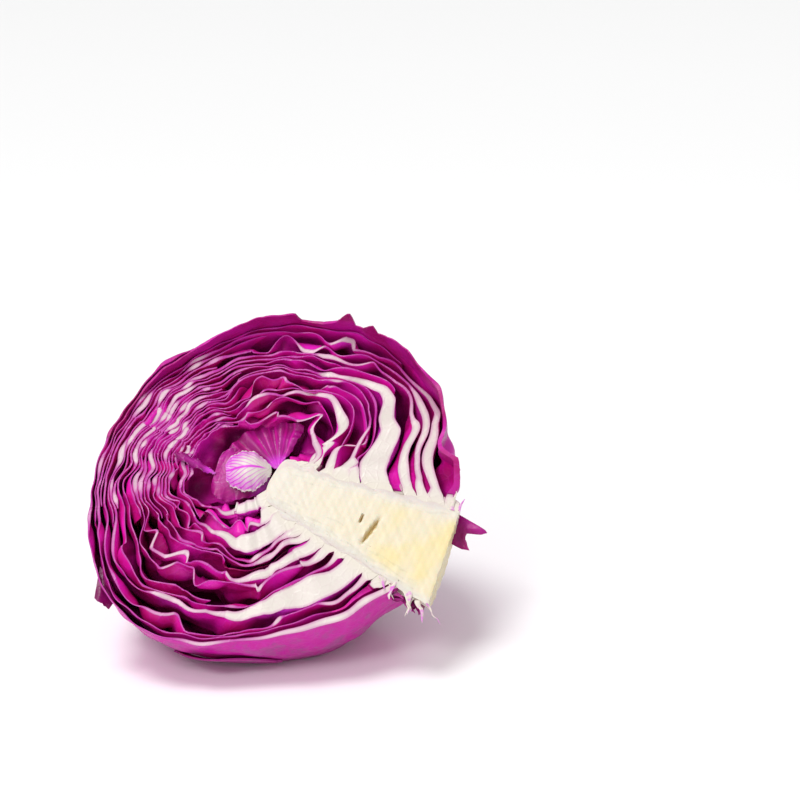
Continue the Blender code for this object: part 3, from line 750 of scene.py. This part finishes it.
def leaf_skin(name, colours, waxy):
    """Living leaf: a thin waxy skin over pale flesh, so it is satin, with a net of veins."""
    material, tree, shader = new_material(name, 0.36, 0.35)
    flesh, pale, skin_pale, vein = (attribute(tree, k) for k in ("flesh", "pale", "skin_pale", "vein"))
    root, outside = attribute(tree, "root"), attribute(tree, "outside")
    skin = mix(tree, ramp(tree, noise(tree, 22), 0.38, 0.62), list(colours.magenta), list(colours.crimson))
    if waxy:
        skin = mix(tree, outside, skin, list(colours.outer))
    net = add_node(tree, "ShaderNodeTexVoronoi", {
        "Vector": add_node(tree, "ShaderNodeTexCoord").outputs["Object"], "Scale": 1 / (5.0 * MM)},
        feature="DISTANCE_TO_EDGE").outputs["Distance"]
    lines = ramp(tree, net, 0.0, 0.12, 1.0, 0.0)
    light_lines = add_node(tree, "ShaderNodeMath", {0: lines, 1: 0.12}, operation="MULTIPLY").outputs[0]
    skin = mix(tree, light_lines, skin, list(colours.violet))
    # The deep value: deeper skin colour at the heart and on the torn rims, and painted shade on the outer
    # leaves' underside
    skin = mix(tree, attribute(tree, "deep"), skin, list(colours.deep))
    skin = mix(tree, ramp(tree, vein, 0.25, 1.0, 0.0, 0.5), skin, list(colours.violet))
    skin = mix(tree, ramp(tree, skin_pale, 0.02, 0.45), skin, list(colours.violet))
    skin = mix(tree, ramp(tree, skin_pale, 0.4, 1.0), skin, list(colours.white_flesh))
    # Painted shade: deep between the leaves the skin is darkened to the shaded colour in noisy patches, but
    # not on the outside of the outer leaves
    dark = ramp(tree, noise(tree, 16), 0.35, 0.65, 0.35, 0.9)
    dark = add_node(tree, "ShaderNodeMath", {0: dark, 1: attribute(tree, "shade")},
                    operation="MULTIPLY").outputs[0]
    if waxy:
        covered = add_node(tree, "ShaderNodeMath", {0: 1.0, 1: outside}, operation="SUBTRACT").outputs[0]
        dark = add_node(tree, "ShaderNodeMath", {0: dark, 1: covered}, operation="MULTIPLY").outputs[0]
    skin = mix(tree, dark, skin, list(colours.shaded))
    if waxy:
        height = add_node(tree, "ShaderNodeSeparateXYZ", {
            0: add_node(tree, "ShaderNodeTexCoord").outputs["Object"]}).outputs[2]
        low = ramp(tree, height, 4 * MM, 26 * MM, 0.12, 0.0)
        spots = add_node(tree, "ShaderNodeMath", {0: noise(tree, 9, 8.0, 0.65), 1: low},
                         operation="ADD").outputs[0]
        wax = ramp(tree, spots, 0.5, 0.7, 0.0, 0.6)
        wax = add_node(tree, "ShaderNodeMath", {0: wax, 1: outside}, operation="MULTIPLY").outputs[0]
        skin = mix(tree, wax, skin, list(colours.bloom))
    inside = mix(tree, pale, list(colours.lilac_flesh), list(colours.white_flesh))
    specks = ramp(tree, noise(tree, 1.5, 4.0), 0.35, 0.75, 0.0, 0.06)
    inside = mix(tree, specks, inside, list(colours.lilac_flesh))
    inside = mix(tree, root, inside, list(colours.core))
    cut = mix(tree, ramp(tree, flesh, 0.35, 0.8), list(colours.dark_skin), inside)
    whole = mix(tree, ramp(tree, flesh, 0.0, 0.2), skin, cut)
    tree.links.new(whole, shader.inputs["Base Color"])
    rough = ramp(tree, noise(tree, 6, 4.0), 0.3, 0.7, 0.3, 0.46 if not waxy else 0.55)
    tree.links.new(rough, shader.inputs["Roughness"])
    grain = noise(tree, 1.2, 4.0)
    height = add_node(tree, "ShaderNodeMath", {0: lines, 1: grain}, operation="ADD").outputs[0]
    bump = add_node(tree, "ShaderNodeBump", {"Height": height, "Strength": 0.3, "Distance": 0.2 * MM})
    tree.links.new(bump.outputs[0], shader.inputs["Normal"])
    return material


# Turns the texture's X along the core
FIBRE_TURN = Matrix((TOP, SIDE, BACK)).transposed().to_euler()


def core_flesh(colours):
    """Cut stem of the cabbage: firm moist pith, cream with yellow patches and fine fibres."""
    material, tree, shader = new_material("cabbage_pith", 0.42)
    yellow, slit, blush, wall = (attribute(tree, k) for k in ("yellow", "slit", "blush", "wall"))
    patch = ramp(tree, noise(tree, 12, 2.0), 0.3, 0.7, 0.35, 1.0)
    patch = add_node(tree, "ShaderNodeMath", {0: yellow, 1: patch}, operation="MULTIPLY").outputs[0]
    colour = mix(tree, patch, list(colours.core), list(colours.core_yellow))
    specks = ramp(tree, noise(tree, 3.0, 3.0, 0.5), 0.45, 0.8, 0.0, 0.12)
    colour = mix(tree, specks, colour, list(colours.white_flesh))
    colour = mix(tree, blush, colour, list(colours.lilac_flesh))
    colour = mix(tree, slit, colour, list(colours.slit))
    colour = mix(tree, wall, colour, list(colours.deep))
    tree.links.new(colour, shader.inputs["Base Color"])
    coords = add_node(tree, "ShaderNodeTexCoord").outputs["Object"]
    fibres = add_node(tree, "ShaderNodeMapping", {
        "Vector": coords, "Rotation": FIBRE_TURN, "Scale": (0.12, 1.0, 1.0)}, vector_type="TEXTURE")
    strands = add_node(tree, "ShaderNodeTexNoise", {
        "Vector": fibres.outputs[0], "Scale": 1 / (1.5 * MM), "Detail": 4.0}).outputs[0]
    bump = add_node(tree, "ShaderNodeBump", {"Height": strands, "Strength": 0.15, "Distance": 0.2 * MM})
    tree.links.new(bump.outputs[0], shader.inputs["Normal"])
    shader.inputs["Subsurface Weight"].default_value = 0.1
    shader.inputs["Subsurface Scale"].default_value = 2 * MM
    return material


# Cracks in the core's cut face: middle (X, UP from the heart), run along and across, mm
SLITS = [((51.9, -23.9), (3.4, 5.6), 6.6, 1.2), ((56.0, -29.6), (5.1, 7.35), 18.0, 2.3)]
SLIT_DEPTH = 2.4
STUMP_BARE = 14.0
# Lumps on the core's upper side in the cut, where tiny leaves were: mm down, spread, height
CORE_LUMPS = [(1.0, 2.6, 4.6), (13.9, 1.7, 3.2), (6.0, 2.5, 1.6)]
CORE_FACE_LIFT, CORE_FACE_WAVE, CORE_FACE_ROUND = 0.15, 0.07, 0.5
CORE_EDGE_WAVES = wave_set(31, 9, 45.0)
CORE_FACE_WAVES = wave_set(32, 12, 60.0)


def make_core(colours):
    """The core: its cut face with two cracks, its round back and its rough end."""
    tip_rows = [0.0, 0.15, 0.5, 1.0, 1.7, 2.6, 3.6, 4.6]
    downs = np.concatenate([tip_rows, np.arange(5.6, CORE_LENGTH, 0.8), [CORE_LENGTH]])
    turns = np.linspace(0, math.pi, 57)
    down, turn = np.meshgrid(downs, turns, indexing="ij")
    line = np.stack([down / 90, np.cos(turn), np.sin(turn)], -1)
    waved = 0.9 * smooth(down / 8) * smooth((CORE_LENGTH - down) / 12)
    width = core_half_width(down) + waved * ripple(CORE_EDGE_WAVES, line)
    for centre, spread, height in CORE_LUMPS:
        near = np.exp(-((down - centre) / spread) ** 2) * smooth((np.cos(turn) - 0.8) / 0.2)
        width = width + height * near * smooth(down / 0.3)
    across = width * np.cos(turn)
    slant = CORE_END_SLANT * across * smooth(down / CORE_LENGTH)
    rough = 0.15 * ripple(CORE_FACE_WAVES, line) * smooth((down - CORE_LENGTH + 3) / 3)
    axis = HEART - (CORE_AHEAD + down + slant + rough)[..., None] * TOP
    side = axis + across[..., None] * SIDE + (width * np.sin(turn))[..., None] * BACK
    face = axis + across[..., None] * SIDE
    offset = face - HEART
    x, up = offset @ X, offset @ UP
    slit = np.zeros_like(x)
    for (mid_x, mid_up), (run_x, run_up), length, wide in SLITS:
        size = math.hypot(run_x, run_up)
        run = ((x - mid_x) * run_x + (up - mid_up) * run_up) / size
        off = ((x - mid_x) * run_up - (up - mid_up) * run_x) / size
        lens = 1 - (2 * run / length) ** 2 - (2 * off / wide) ** 2
        slit = np.maximum(slit, smooth(lens * 1.2))
    from_edge = (1 - np.abs(np.cos(turn))) * width
    place = np.stack([x / 30, up / 30, x * 0], -1)
    lift = CORE_FACE_WAVE * ripple(CORE_FACE_WAVES, place) * smooth(from_edge / 3)
    lift = (CORE_FACE_LIFT * smooth(from_edge / CORE_FACE_ROUND) + lift) * smooth(
        (CORE_LENGTH - down) / CORE_FACE_ROUND) - SLIT_DEPTH * slit
    face = face + lift[..., None] * OUT
    end_rows = np.linspace(0, 1, 12)
    end = [HEART - (CORE_AHEAD + down[-1] + slant[-1] + rough[-1])[:, None] * TOP + across[-1][:, None] * SIDE
           + (share * width[-1] * np.sin(turns))[:, None] * BACK for share in end_rows]
    end = np.array(end)
    end[1:-1] -= (0.2 * np.sin(turns) * ripple(CORE_FACE_WAVES, end[1:-1] / 40))[..., None] * TOP
    points, faces, yellow, cracks, blush, wall = [], [], [], [], [], []
    for grid, flip in ((side, False), (face, True), (end, True)):
        rows, columns = grid.shape[:2]
        base = sum(len(p) for p in points)
        index = base + np.arange(rows * columns).reshape(rows, columns)
        a, b, c, d = index[:-1, :-1], index[:-1, 1:], index[1:, 1:], index[1:, :-1]
        quads = np.stack([a, b, c, d], -1).reshape(-1, 4)
        faces.append(quads[:, ::-1] if flip else quads)
        points.append(grid.reshape(-1, 3))
        place = grid.reshape(-1, 3) - HEART
        distance = -(place @ TOP) - CORE_AHEAD
        edge_off = core_half_width(np.clip(distance, 0, CORE_LENGTH)) - np.abs(place @ SIDE)
        yellow.append((0.3 * smooth((distance - 4) / 20) + 0.7 * smooth((distance - 42) / 26))
                      * smooth((edge_off - 1) / 6))
        skin = smooth((CORE_LENGTH - STUMP_BARE - distance) / 8) * (np.abs(place @ OUT) > 0.05)
        wall.append(skin if grid is side else np.zeros(len(place)))
        cracks.append(slit.ravel() if grid is face else np.zeros(len(place)))
        blush.append(0.12 * (1 - smooth(edge_off / 1.6)) * (1 - smooth((distance - 70) / 10)))
    mesh = bpy.data.meshes.new("core")
    mesh.from_pydata([tuple(point * MM) for point in np.concatenate(points)], [],
                     [tuple(face) for face in np.concatenate(faces).tolist()])
    for key, value in (("yellow", yellow), ("slit", cracks), ("blush", blush), ("wall", wall)):
        data = mesh.attributes.new(key, "FLOAT", "POINT").data
        data.foreach_set("value", np.concatenate(value).astype(np.float32))
    shape = bmesh.new()
    shape.from_mesh(mesh)
    bmesh.ops.remove_doubles(shape, verts=shape.verts, dist=2e-6)
    bmesh.ops.dissolve_degenerate(shape, edges=shape.edges, dist=1e-6)
    bmesh.ops.recalc_face_normals(shape, faces=shape.faces)
    shape.to_mesh(mesh)
    shape.free()
    mesh.shade_smooth()
    mesh.set_sharp_from_angle(angle=math.radians(50))
    return add_piece("cabbage_core", mesh, core_flesh(colours), "core")


def heart_leaf_surface(share, side, foot, tip, half_width, widest, spread, cup, wave, waves):
    """The middle of a small leaf and the way it faces, at shares along it and across it."""
    foot, tip = from_heart(foot), from_heart(tip)
    length = np.linalg.norm(tip - foot)
    along = (tip - foot) / length
    across = np.cross(OUT, along)
    across /= np.linalg.norm(across)
    rise = np.cross(along, across)
    width = half_width * (0.2 + 0.8 * np.sin(np.minimum(share / widest, 1) * math.pi / 2))
    width = width * np.sqrt(1 - (0.92 * np.maximum(share - widest, 0) / (1 - widest)) ** 2)
    edge = side ** 2
    lift = cup * (1 - edge) * np.sin(math.pi * np.minimum(share, 0.9))
    lift = lift + wave * edge * np.sin(2 * math.pi * waves * share + side) * np.minimum(3 * share, 1)
    turn = math.radians(spread) * side
    if spread > FAN_SPREAD:
        lift = lift + wave * share * np.cos(2 * math.pi * waves * side)
    out = length * share
    spot = (foot + (out * np.cos(turn))[..., None] * along
            + (out * np.sin(turn) + width * side)[..., None] * across + lift[..., None] * rise)
    return spot, rise


def make_heart_leaf(name, foot, tip, half_width, widest, spread, cup, wave, waves, light, deep, material):
    """A small leaf with a cupped middle and a waved edge."""
    size = HEART_GRID
    share, side = np.meshgrid(np.linspace(0, 1, size), np.linspace(-1, 1, size), indexing="ij")
    frill = 0.4 * np.sin(2 * math.pi * 3.1 * waves * share + 2 * side) * side ** 8
    spot, rise = heart_leaf_surface(share, side, foot, tip, half_width, widest, spread, cup, wave, waves)
    spot = spot + frill[..., None] * rise
    if spread > FAN_SPREAD:
        run = side * 4.2 + 0.35 * np.sin(5 * side + 1) + 0.25 * share * np.sin(9 * side)
        line = 0.34
    else:
        run = 6.5 * (share - 0.75 * np.abs(side)) + 0.5 * (side > 0) + 0.2 * np.sin(7 * share)
        line = 0.4
    fan = np.abs(np.remainder(run, 1) - 0.5) * 2
    midrib = np.exp(-(side / 0.07) ** 2) * (spread <= FAN_SPREAD)
    vein = np.maximum(smooth((line - fan) / line) * (0.45 + 0.55 * share), midrib)
    if spread <= FAN_SPREAD and light < 0.5:
        vein = 0.3 * vein
    tangent = unit_cross(np.gradient(spot, axis=0), np.gradient(spot, axis=1))
    tangent *= np.sign(tangent @ rise)[..., None]
    outer = (spot + (HEART_BLADE / 2 + 0.12 * vein)[..., None] * tangent).reshape(-1, 3)
    inner = (spot - tangent * HEART_BLADE / 2).reshape(-1, 3)
    root = 1 - smooth(share / 0.45)
    inner_part = 1 - smooth((np.hypot(side, 1.3 * np.maximum(share - 0.3, 0)) - 0.25) / 0.85)
    streak = light * (0.6 + 0.4 * inner_part) * (1 - 0.6 * vein)
    streak = streak + light * 0.5 * smooth((np.abs(side) - 0.9) / 0.1)
    skin_pale = np.maximum(root * (0.5 + 0.5 * light), streak)
    values = leaf_values(size * size, pale=np.full(size * size, 0.3), skin_pale=skin_pale.ravel(),
                         vein=(0.6 * vein).ravel(), deep=(deep * (1 - 0.8 * vein)).ravel())
    mesh = close_blade(name, sheet_triangles(size, size), [], outer, inner, values, np.full(size * size, 0.7))
    return add_piece("cabbage_" + name, mesh, material, name)


# Torn scraps of leaf: name, root's two ends, tip's two ends (X, UP, OUT in mm from the
# heart), bulge mm, wave mm, the torn edge as share across and share along the scrap, and darkness,
# which deepens the skin colour and adds painted shade
SCRAPS = [
    ("scrap_behind_stump", (90.0, -15.0, -9.0), (86.0, -28.0, -11.0), (109.0, -27.0, -9.0),
     (99.0, -36.0, -11.0), 1.5, 0.5,
     [(0, 0.9), (0.06, 1.0), (0.2, 0.86), (0.4, 0.6), (0.62, 0.66), (0.8, 0.9), (0.9, 1.0), (1, 0.8)], 0.5),
    ("scrap_low_left", (-63.0, -44.0, -7.0), (-55.0, -58.0, -9.0), (-64.5, -61.0, -5.0), (-58.0, -64.0, -7.0),
     1.2, 0.4, [(0, 0.92), (0.3, 0.98), (0.6, 1.0), (1, 0.95)], 0.9),
    ("scrap_stump_low", (64.0, -58.0, -6.0), (72.0, -62.0, -8.0), (67.0, -63.0, 1.0), (76.0, -69.0, -1.0),
     1.5, 0.8, [(0, 0.7), (0.2, 1.0), (0.4, 0.6), (0.6, 0.9), (0.8, 0.5), (1, 0.8)], 0.8),
    ("scrap_stump_lower", (70.0, -57.0, -9.0), (80.0, -60.0, -12.0), (73.0, -66.0, -4.0), (78.0, -68.0, -8.0),
     2.0, 0.9, [(0, 0.6), (0.15, 1.0), (0.5, 0.7), (0.7, 1.0), (1, 0.5)], 0.8),
]
SCRAP_BLADE = 0.6
SCRAP_GRID = 40
SCRAP_WAVES = wave_set(41, 8, 6.0)


def make_scrap(name, root_start, root_end, tip_start, tip_end, bulge, wave, torn_edge, darkness, material):
    """A torn scrap of leaf between a root line and a ragged tip."""
    size = SCRAP_GRID
    along, across = np.meshgrid(np.linspace(0, 1, size), np.linspace(0, 1, size), indexing="ij")
    ends = [from_heart(spot) for spot in (root_start, root_end, tip_start, tip_end)]
    place = np.stack([along * 2, across * 2, along * 0 + len(name)], -1)
    shares, reaches = np.array(torn_edge).T
    ragged = 1 + 0.02 * along * ripple(SCRAP_WAVES, 2 * place)
    reach = (along * np.interp(across, shares, reaches) * ragged)[..., None]
    across = across[..., None]
    root, tip = (ends[k] * (1 - across) + ends[k + 1] * across for k in (0, 2))
    spot = root * (1 - reach) + tip * reach
    normal = unit_cross(np.gradient(spot, axis=0), np.gradient(spot, axis=1))
    lift = bulge * np.sin(math.pi * across) + wave * ripple(SCRAP_WAVES, place)[..., None] * reach
    spot = spot + lift * normal
    half = SCRAP_BLADE / 2 * (1 - 0.5 * reach)
    outer, inner = (spot + half * normal).reshape(-1, 3), (spot - half * normal).reshape(-1, 3)
    # The darkness deepens the skin colour and adds painted shade
    dark = np.full(size * size, darkness)
    values = leaf_values(size * size, deep=dark, shade=dark)
    mesh = close_blade(name, sheet_triangles(size, size), [], outer, inner, values, np.full(size * size, 0.6))
    return add_piece("cabbage_" + name, mesh, material, None)


# A sheet of the outermost leaf peeled from the head's lower side: alpha and beta from and to,
# in degrees, and how far its upper lip stands off, mm
PEEL_ALPHA, PEEL_BETA, PEEL_LIFT = (-128.0, -94.0), (10.5, 22.0), 1.4
PEEL_BLADE = 0.7
PEEL_COLUMNS, PEEL_ROWS = 90, 24


def make_peel(material):
    """A thin sheet low on the outside, its waved upper lip standing off the head."""
    across, down = np.meshgrid(np.linspace(0, 1, PEEL_COLUMNS), np.linspace(0, 1, PEEL_ROWS), indexing="ij")
    narrow = np.sin(math.pi * np.clip(across, 0.04, 0.96)) ** 0.5
    alpha = np.radians(PEEL_ALPHA[0] + (PEEL_ALPHA[1] - PEEL_ALPHA[0]) * across)
    wave = ripple(SCRAP_WAVES, np.stack([across * 2.2, down * 0.4, down * 0], -1))
    lip = PEEL_BETA[1] - (PEEL_BETA[1] - PEEL_BETA[0]) * narrow * (1 + 0.08 * wave)
    beta = np.radians(lip + (PEEL_BETA[1] - lip) * down)
    lift = PEEL_LIFT * (1 - down) ** 1.5 * narrow * (1 + 0.35 * wave) + 0.2 + PEEL_BLADE / 2
    ray = direction(alpha, beta)
    radius = (head_radius(alpha, beta) + lift)[..., None]
    values = leaf_values(across.size)
    outer = (HEART + (radius + PEEL_BLADE / 2) * ray).reshape(-1, 3)
    inner = (HEART + (radius - PEEL_BLADE / 2) * ray).reshape(-1, 3)
    triangles = sheet_triangles(PEEL_COLUMNS, PEEL_ROWS)
    mesh = close_blade("peel", triangles, [], outer, inner, values, np.full(across.size, 0.6))
    return add_piece("cabbage_peeled_sheet", mesh, material, None)


# Frayed fibres at the stump: where each starts and which way it hangs (X, UP, OUT), mm
SHREDS = [
    ((61.5, -51.5, 0.2), (0.1, -1.0, 0.3)), ((63.5, -52.7, -0.5), (0.3, -1.0, 0.2)),
    ((66.0, -54.5, 0.0), (-0.2, -1.0, 0.4)), ((70.5, -57.5, -1.0), (0.3, -1.0, 0.3)),
    ((72.5, -59.0, -0.5), (0.0, -1.0, 0.2)), ((74.0, -60.0, -1.5), (-0.3, -1.0, 0.1)),
    ((76.5, -61.8, -1.0), (0.2, -1.0, 0.3)), ((80.3, -64.0, -0.5), (0.6, -1.0, 0.0)),
    ((92.0, -20.8, -0.3), (0.2, 1.0, 0.4)), ((94.0, -21.4, -0.5), (0.5, 1.0, 0.2)),
]


def shred_tree(material):
    """Geometry Nodes: a bent sliver of fibre on each point, turned along its hanging way."""
    tree = bpy.data.node_groups.new("stump_shreds", "GeometryNodeTree")
    tree.interface.new_socket("Geometry", in_out="INPUT", socket_type="NodeSocketGeometry")
    for name, kind, value in (("Length", "NodeSocketFloat", 0.0100), ("Width", "NodeSocketFloat", 0.0014),
                              ("Bend", "NodeSocketFloat", 0.004), ("Seed", "NodeSocketInt", 3)):
        tree.interface.new_socket(name, in_out="INPUT", socket_type=kind).default_value = value
    tree.interface.new_socket("Geometry", in_out="OUTPUT", socket_type="NodeSocketGeometry")
    given = add_node(tree, "NodeGroupInput").outputs
    points = add_node(tree, "GeometryNodeMeshToPoints", {"Mesh": given["Geometry"]}).outputs[0]
    sliver = add_node(tree, "GeometryNodeMeshCone", {
        "Vertices": 8, "Side Segments": 10, "Radius Top": 0.0001, "Radius Bottom": given["Width"],
        "Depth": given["Length"]}).outputs["Mesh"]
    size = add_node(tree, "FunctionNodeRandomValue", {
        0: (0.7, 0.3, 0.5), 1: (1.3, 0.5, 1.3), "Seed": given["Seed"]}, data_type="FLOAT_VECTOR").outputs[0]
    way = add_node(tree, "GeometryNodeInputNamedAttribute", {"Name": "way"},
                   data_type="FLOAT_VECTOR").outputs[0]
    turn = add_node(tree, "FunctionNodeAlignRotationToVector", {"Vector": way}, axis="Z").outputs[0]
    hung = add_node(tree, "GeometryNodeInstanceOnPoints", {
        "Points": points, "Instance": sliver, "Rotation": turn, "Scale": size}).outputs[0]
    whole = add_node(tree, "GeometryNodeRealizeInstances", {"Geometry": hung}).outputs[0]
    wave = add_node(tree, "ShaderNodeTexNoise", {"Scale": 160.0, "Detail": 1.0}).outputs["Color"]
    off = add_node(tree, "ShaderNodeVectorMath", {0: wave, 1: (0.5, 0.5, 0.5)},
                   operation="SUBTRACT").outputs[0]
    off = add_node(tree, "ShaderNodeVectorMath", {0: off, "Scale": given["Bend"]},
                   operation="SCALE").outputs[0]
    bent = add_node(tree, "GeometryNodeSetPosition", {"Geometry": whole, "Offset": off}).outputs[0]
    made = add_node(tree, "GeometryNodeSetMaterial", {"Geometry": bent, "Material": material}).outputs[0]
    tree.links.new(made, add_node(tree, "NodeGroupOutput").inputs[0])
    return tree


def shred_fibre(colours):
    """Torn stem fibre: dry pale threads, violet where skin hangs on."""
    material, tree, shader = new_material("cabbage_fibre", 0.6)
    tint = ramp(tree, noise(tree, 5.0), 0.45, 0.65, 0.0, 0.8)
    tree.links.new(mix(tree, tint, list(colours.core), list(colours.violet)), shader.inputs["Base Color"])
    return material


def make_shreds(colours):
    """Frayed fibres hanging from the stump's edge."""
    material = shred_fibre(colours)
    ways = [way[0] * X + way[1] * UP + way[2] * OUT for _, way in SHREDS]
    mesh = bpy.data.meshes.new("shred_spots")
    mesh.from_pydata([tuple(from_heart(spot) * MM) for spot, _ in SHREDS], [], [])
    mesh.attributes.new("way", "FLOAT_VECTOR", "POINT").data.foreach_set("vector", np.concatenate(ways))
    maker = bpy.data.objects.new("shred_maker", mesh)
    bpy.context.scene.collection.objects.link(maker)
    modifier = maker.modifiers.new("shreds", "NODES")
    modifier.node_group = shred_tree(material)
    ready = maker.evaluated_get(bpy.context.evaluated_depsgraph_get())
    shreds = bpy.data.meshes.new_from_object(ready)
    bpy.data.objects.remove(maker)
    shreds.materials.clear()
    return add_piece("cabbage_stump_fibres", shreds, material, None)


class CABBAGE_OT_scraps(bpy.types.Operator):
    """Build the torn scraps, the peeled sheet and the stump's fibres"""
    bl_idname = "cabbage.scraps"
    bl_label = "Torn Scraps"

    def execute(self, context):
        skin = leaf_skin("cabbage_leaf_scrap", context.scene.cabbage_colours, waxy=False)
        for scrap in SCRAPS:
            make_scrap(*scrap, skin)
        make_peel(leaf_skin("cabbage_leaf_peel", context.scene.cabbage_colours, waxy=True))
        make_shreds(context.scene.cabbage_colours)
        return {"FINISHED"}


class CABBAGE_OT_leaves(bpy.types.Operator):
    """Build the large leaves, nested round the heart"""
    bl_idname = "cabbage.leaves"
    bl_label = "Large Leaves"

    def execute(self, context):
        shape, colours = context.scene.cabbage_shape, context.scene.cabbage_colours
        columns = shape.columns
        outer_skin = leaf_skin("cabbage_leaf_waxy", colours, waxy=True)
        inner_skin = leaf_skin("cabbage_leaf_moist", colours, waxy=False)
        torn = Nest(columns, np.concatenate([TORN_ROWS, OUTER_ROWS]), shape)
        outer = Nest(columns, OUTER_ROWS, shape)
        middle = Nest(columns, INNER_ROWS, shape)
        small = Nest(int(columns * 0.75), INNER_ROWS, shape)
        for index in range(len(LEAVES)):
            if index < TORN_LEAVES:
                nest = torn
            elif index < OUTER_LEAVES:
                nest = outer
            else:
                nest = middle if index < SMALL_FROM else small
            waxy = index < OUTER_LEAVES
            skin, slot = (outer_skin, "outer_leaf") if waxy else (inner_skin, "inner_leaf")
            make_leaf(index, nest, shape, skin)
        return {"FINISHED"}


class CABBAGE_OT_core(bpy.types.Operator):
    """Build the core with its cut face"""
    bl_idname = "cabbage.core"
    bl_label = "Core"

    def execute(self, context):
        make_core(context.scene.cabbage_colours)
        return {"FINISHED"}


class CABBAGE_OT_heart(bpy.types.Operator):
    """Build the small leaves at the heart"""
    bl_idname = "cabbage.heart"
    bl_label = "Heart Leaves"

    def execute(self, context):
        skin = leaf_skin("cabbage_heart_leaf", context.scene.cabbage_colours, waxy=False)
        for leaf in HEART_LEAVES:
            make_heart_leaf(*leaf, skin)
        return {"FINISHED"}


# The camera, and where the core's tip lies in the picture
CAMERA_RISE = math.radians(20.0)
CAMERA_DISTANCE = 1.0
PIXELS_PER_MM = 2.25
CORE_TIP_PIXEL = (270, 480)


def aim(name, data, place, way):
    """A light or a camera at a place, looking along a way."""
    thing = bpy.data.objects.new(name, data)
    thing.location = place
    thing.rotation_mode = "QUATERNION"
    thing.rotation_quaternion = way.to_track_quat("-Z", "Y")
    bpy.context.scene.collection.objects.link(thing)
    return thing


class CABBAGE_OT_stage(bpy.types.Operator):
    """Build the floor, the lights and the camera"""
    bl_idname = "cabbage.stage"
    bl_label = "Stage"

    def execute(self, context):
        scene = context.scene
        mesh = bpy.data.meshes.new("floor")
        mesh.from_pydata([(-3, -3, 0), (3, -3, 0), (3, 3, 0), (-3, 3, 0)], [], [(0, 1, 2, 3)])
        material, tree, shader = new_material("white_acrylic", 0.22, 0.35)
        shader.inputs["Base Color"].default_value = (0.985, 0.985, 0.985, 1.0)
        mesh.materials.append(material)
        floor = bpy.data.objects.new("floor", mesh)
        scene.collection.objects.link(floor)
        world = bpy.data.worlds.new("studio")
        world.use_nodes = True
        world.node_tree.nodes["Background"].inputs[0].default_value = (1, 1, 1, 1)
        world.node_tree.nodes["Background"].inputs[1].default_value = 0.6
        scene.world = world
        sun = bpy.data.lights.new("sun", "SUN")
        sun.energy, sun.angle = 1.65, math.radians(24)
        aim("sun", sun, (0, 0, 0), Vector((0.3, 0.1, -1.0)))
        key = bpy.data.lights.new("key", "AREA")
        key.size, key.energy = 0.25, 2.8
        place = Vector((-0.35, -0.7, 0.75))
        aim("key", key, place, Vector((0, 0, 0.08)) - place)
        camera = bpy.data.cameras.new("camera")
        camera.sensor_width = 36.0
        camera.lens = PIXELS_PER_MM * CAMERA_DISTANCE / MM * camera.sensor_width / IMAGE_SIDE
        back = Vector((0, -math.cos(CAMERA_RISE), math.sin(CAMERA_RISE)))
        up = Vector((0, math.sin(CAMERA_RISE), math.cos(CAMERA_RISE)))
        tip = Vector((HEART - CORE_AHEAD * TOP) * MM)
        centre = IMAGE_SIDE / 2
        right_by = (centre - CORE_TIP_PIXEL[0]) / PIXELS_PER_MM
        up_by = (CORE_TIP_PIXEL[1] - centre) / PIXELS_PER_MM
        target = tip + Vector((right_by * MM, 0, 0)) + up * up_by * MM
        scene.camera = aim("camera", camera, target + back * CAMERA_DISTANCE, -back)
        scene.view_settings.view_transform = "Standard"
        return {"FINISHED"}


class CABBAGE_PT_panel(bpy.types.Panel):
    """Sizes, colours and the building steps"""
    bl_idname = "CABBAGE_PT_panel"
    bl_label = "Red Cabbage Half"
    bl_space_type = "VIEW_3D"
    bl_region_type = "UI"
    bl_category = "Cabbage"

    def draw(self, context):
        for group in (context.scene.cabbage_shape, context.scene.cabbage_colours):
            box = self.layout.box()
            for name in group.__annotations__:
                box.prop(group, name)
        for operator in OPERATORS:
            self.layout.operator(operator.bl_idname)


OPERATORS = (CABBAGE_OT_core, CABBAGE_OT_leaves, CABBAGE_OT_heart, CABBAGE_OT_scraps, CABBAGE_OT_stage)
CLASSES = (CabbageShape, CabbageColourSet, *OPERATORS, CABBAGE_PT_panel)


def register():
    for item in CLASSES:
        bpy.utils.register_class(item)
    bpy.types.Scene.cabbage_shape = PointerProperty(type=CabbageShape)
    bpy.types.Scene.cabbage_colours = PointerProperty(type=CabbageColourSet)


def unregister():
    del bpy.types.Scene.cabbage_colours
    del bpy.types.Scene.cabbage_shape
    for item in reversed(CLASSES):
        bpy.utils.unregister_class(item)


def main():
    register()
    bpy.ops.cabbage.core()
    bpy.ops.cabbage.leaves()
    bpy.ops.cabbage.heart()
    bpy.ops.cabbage.scraps()
    bpy.ops.cabbage.stage()


if __name__ == "__main__":
    main()
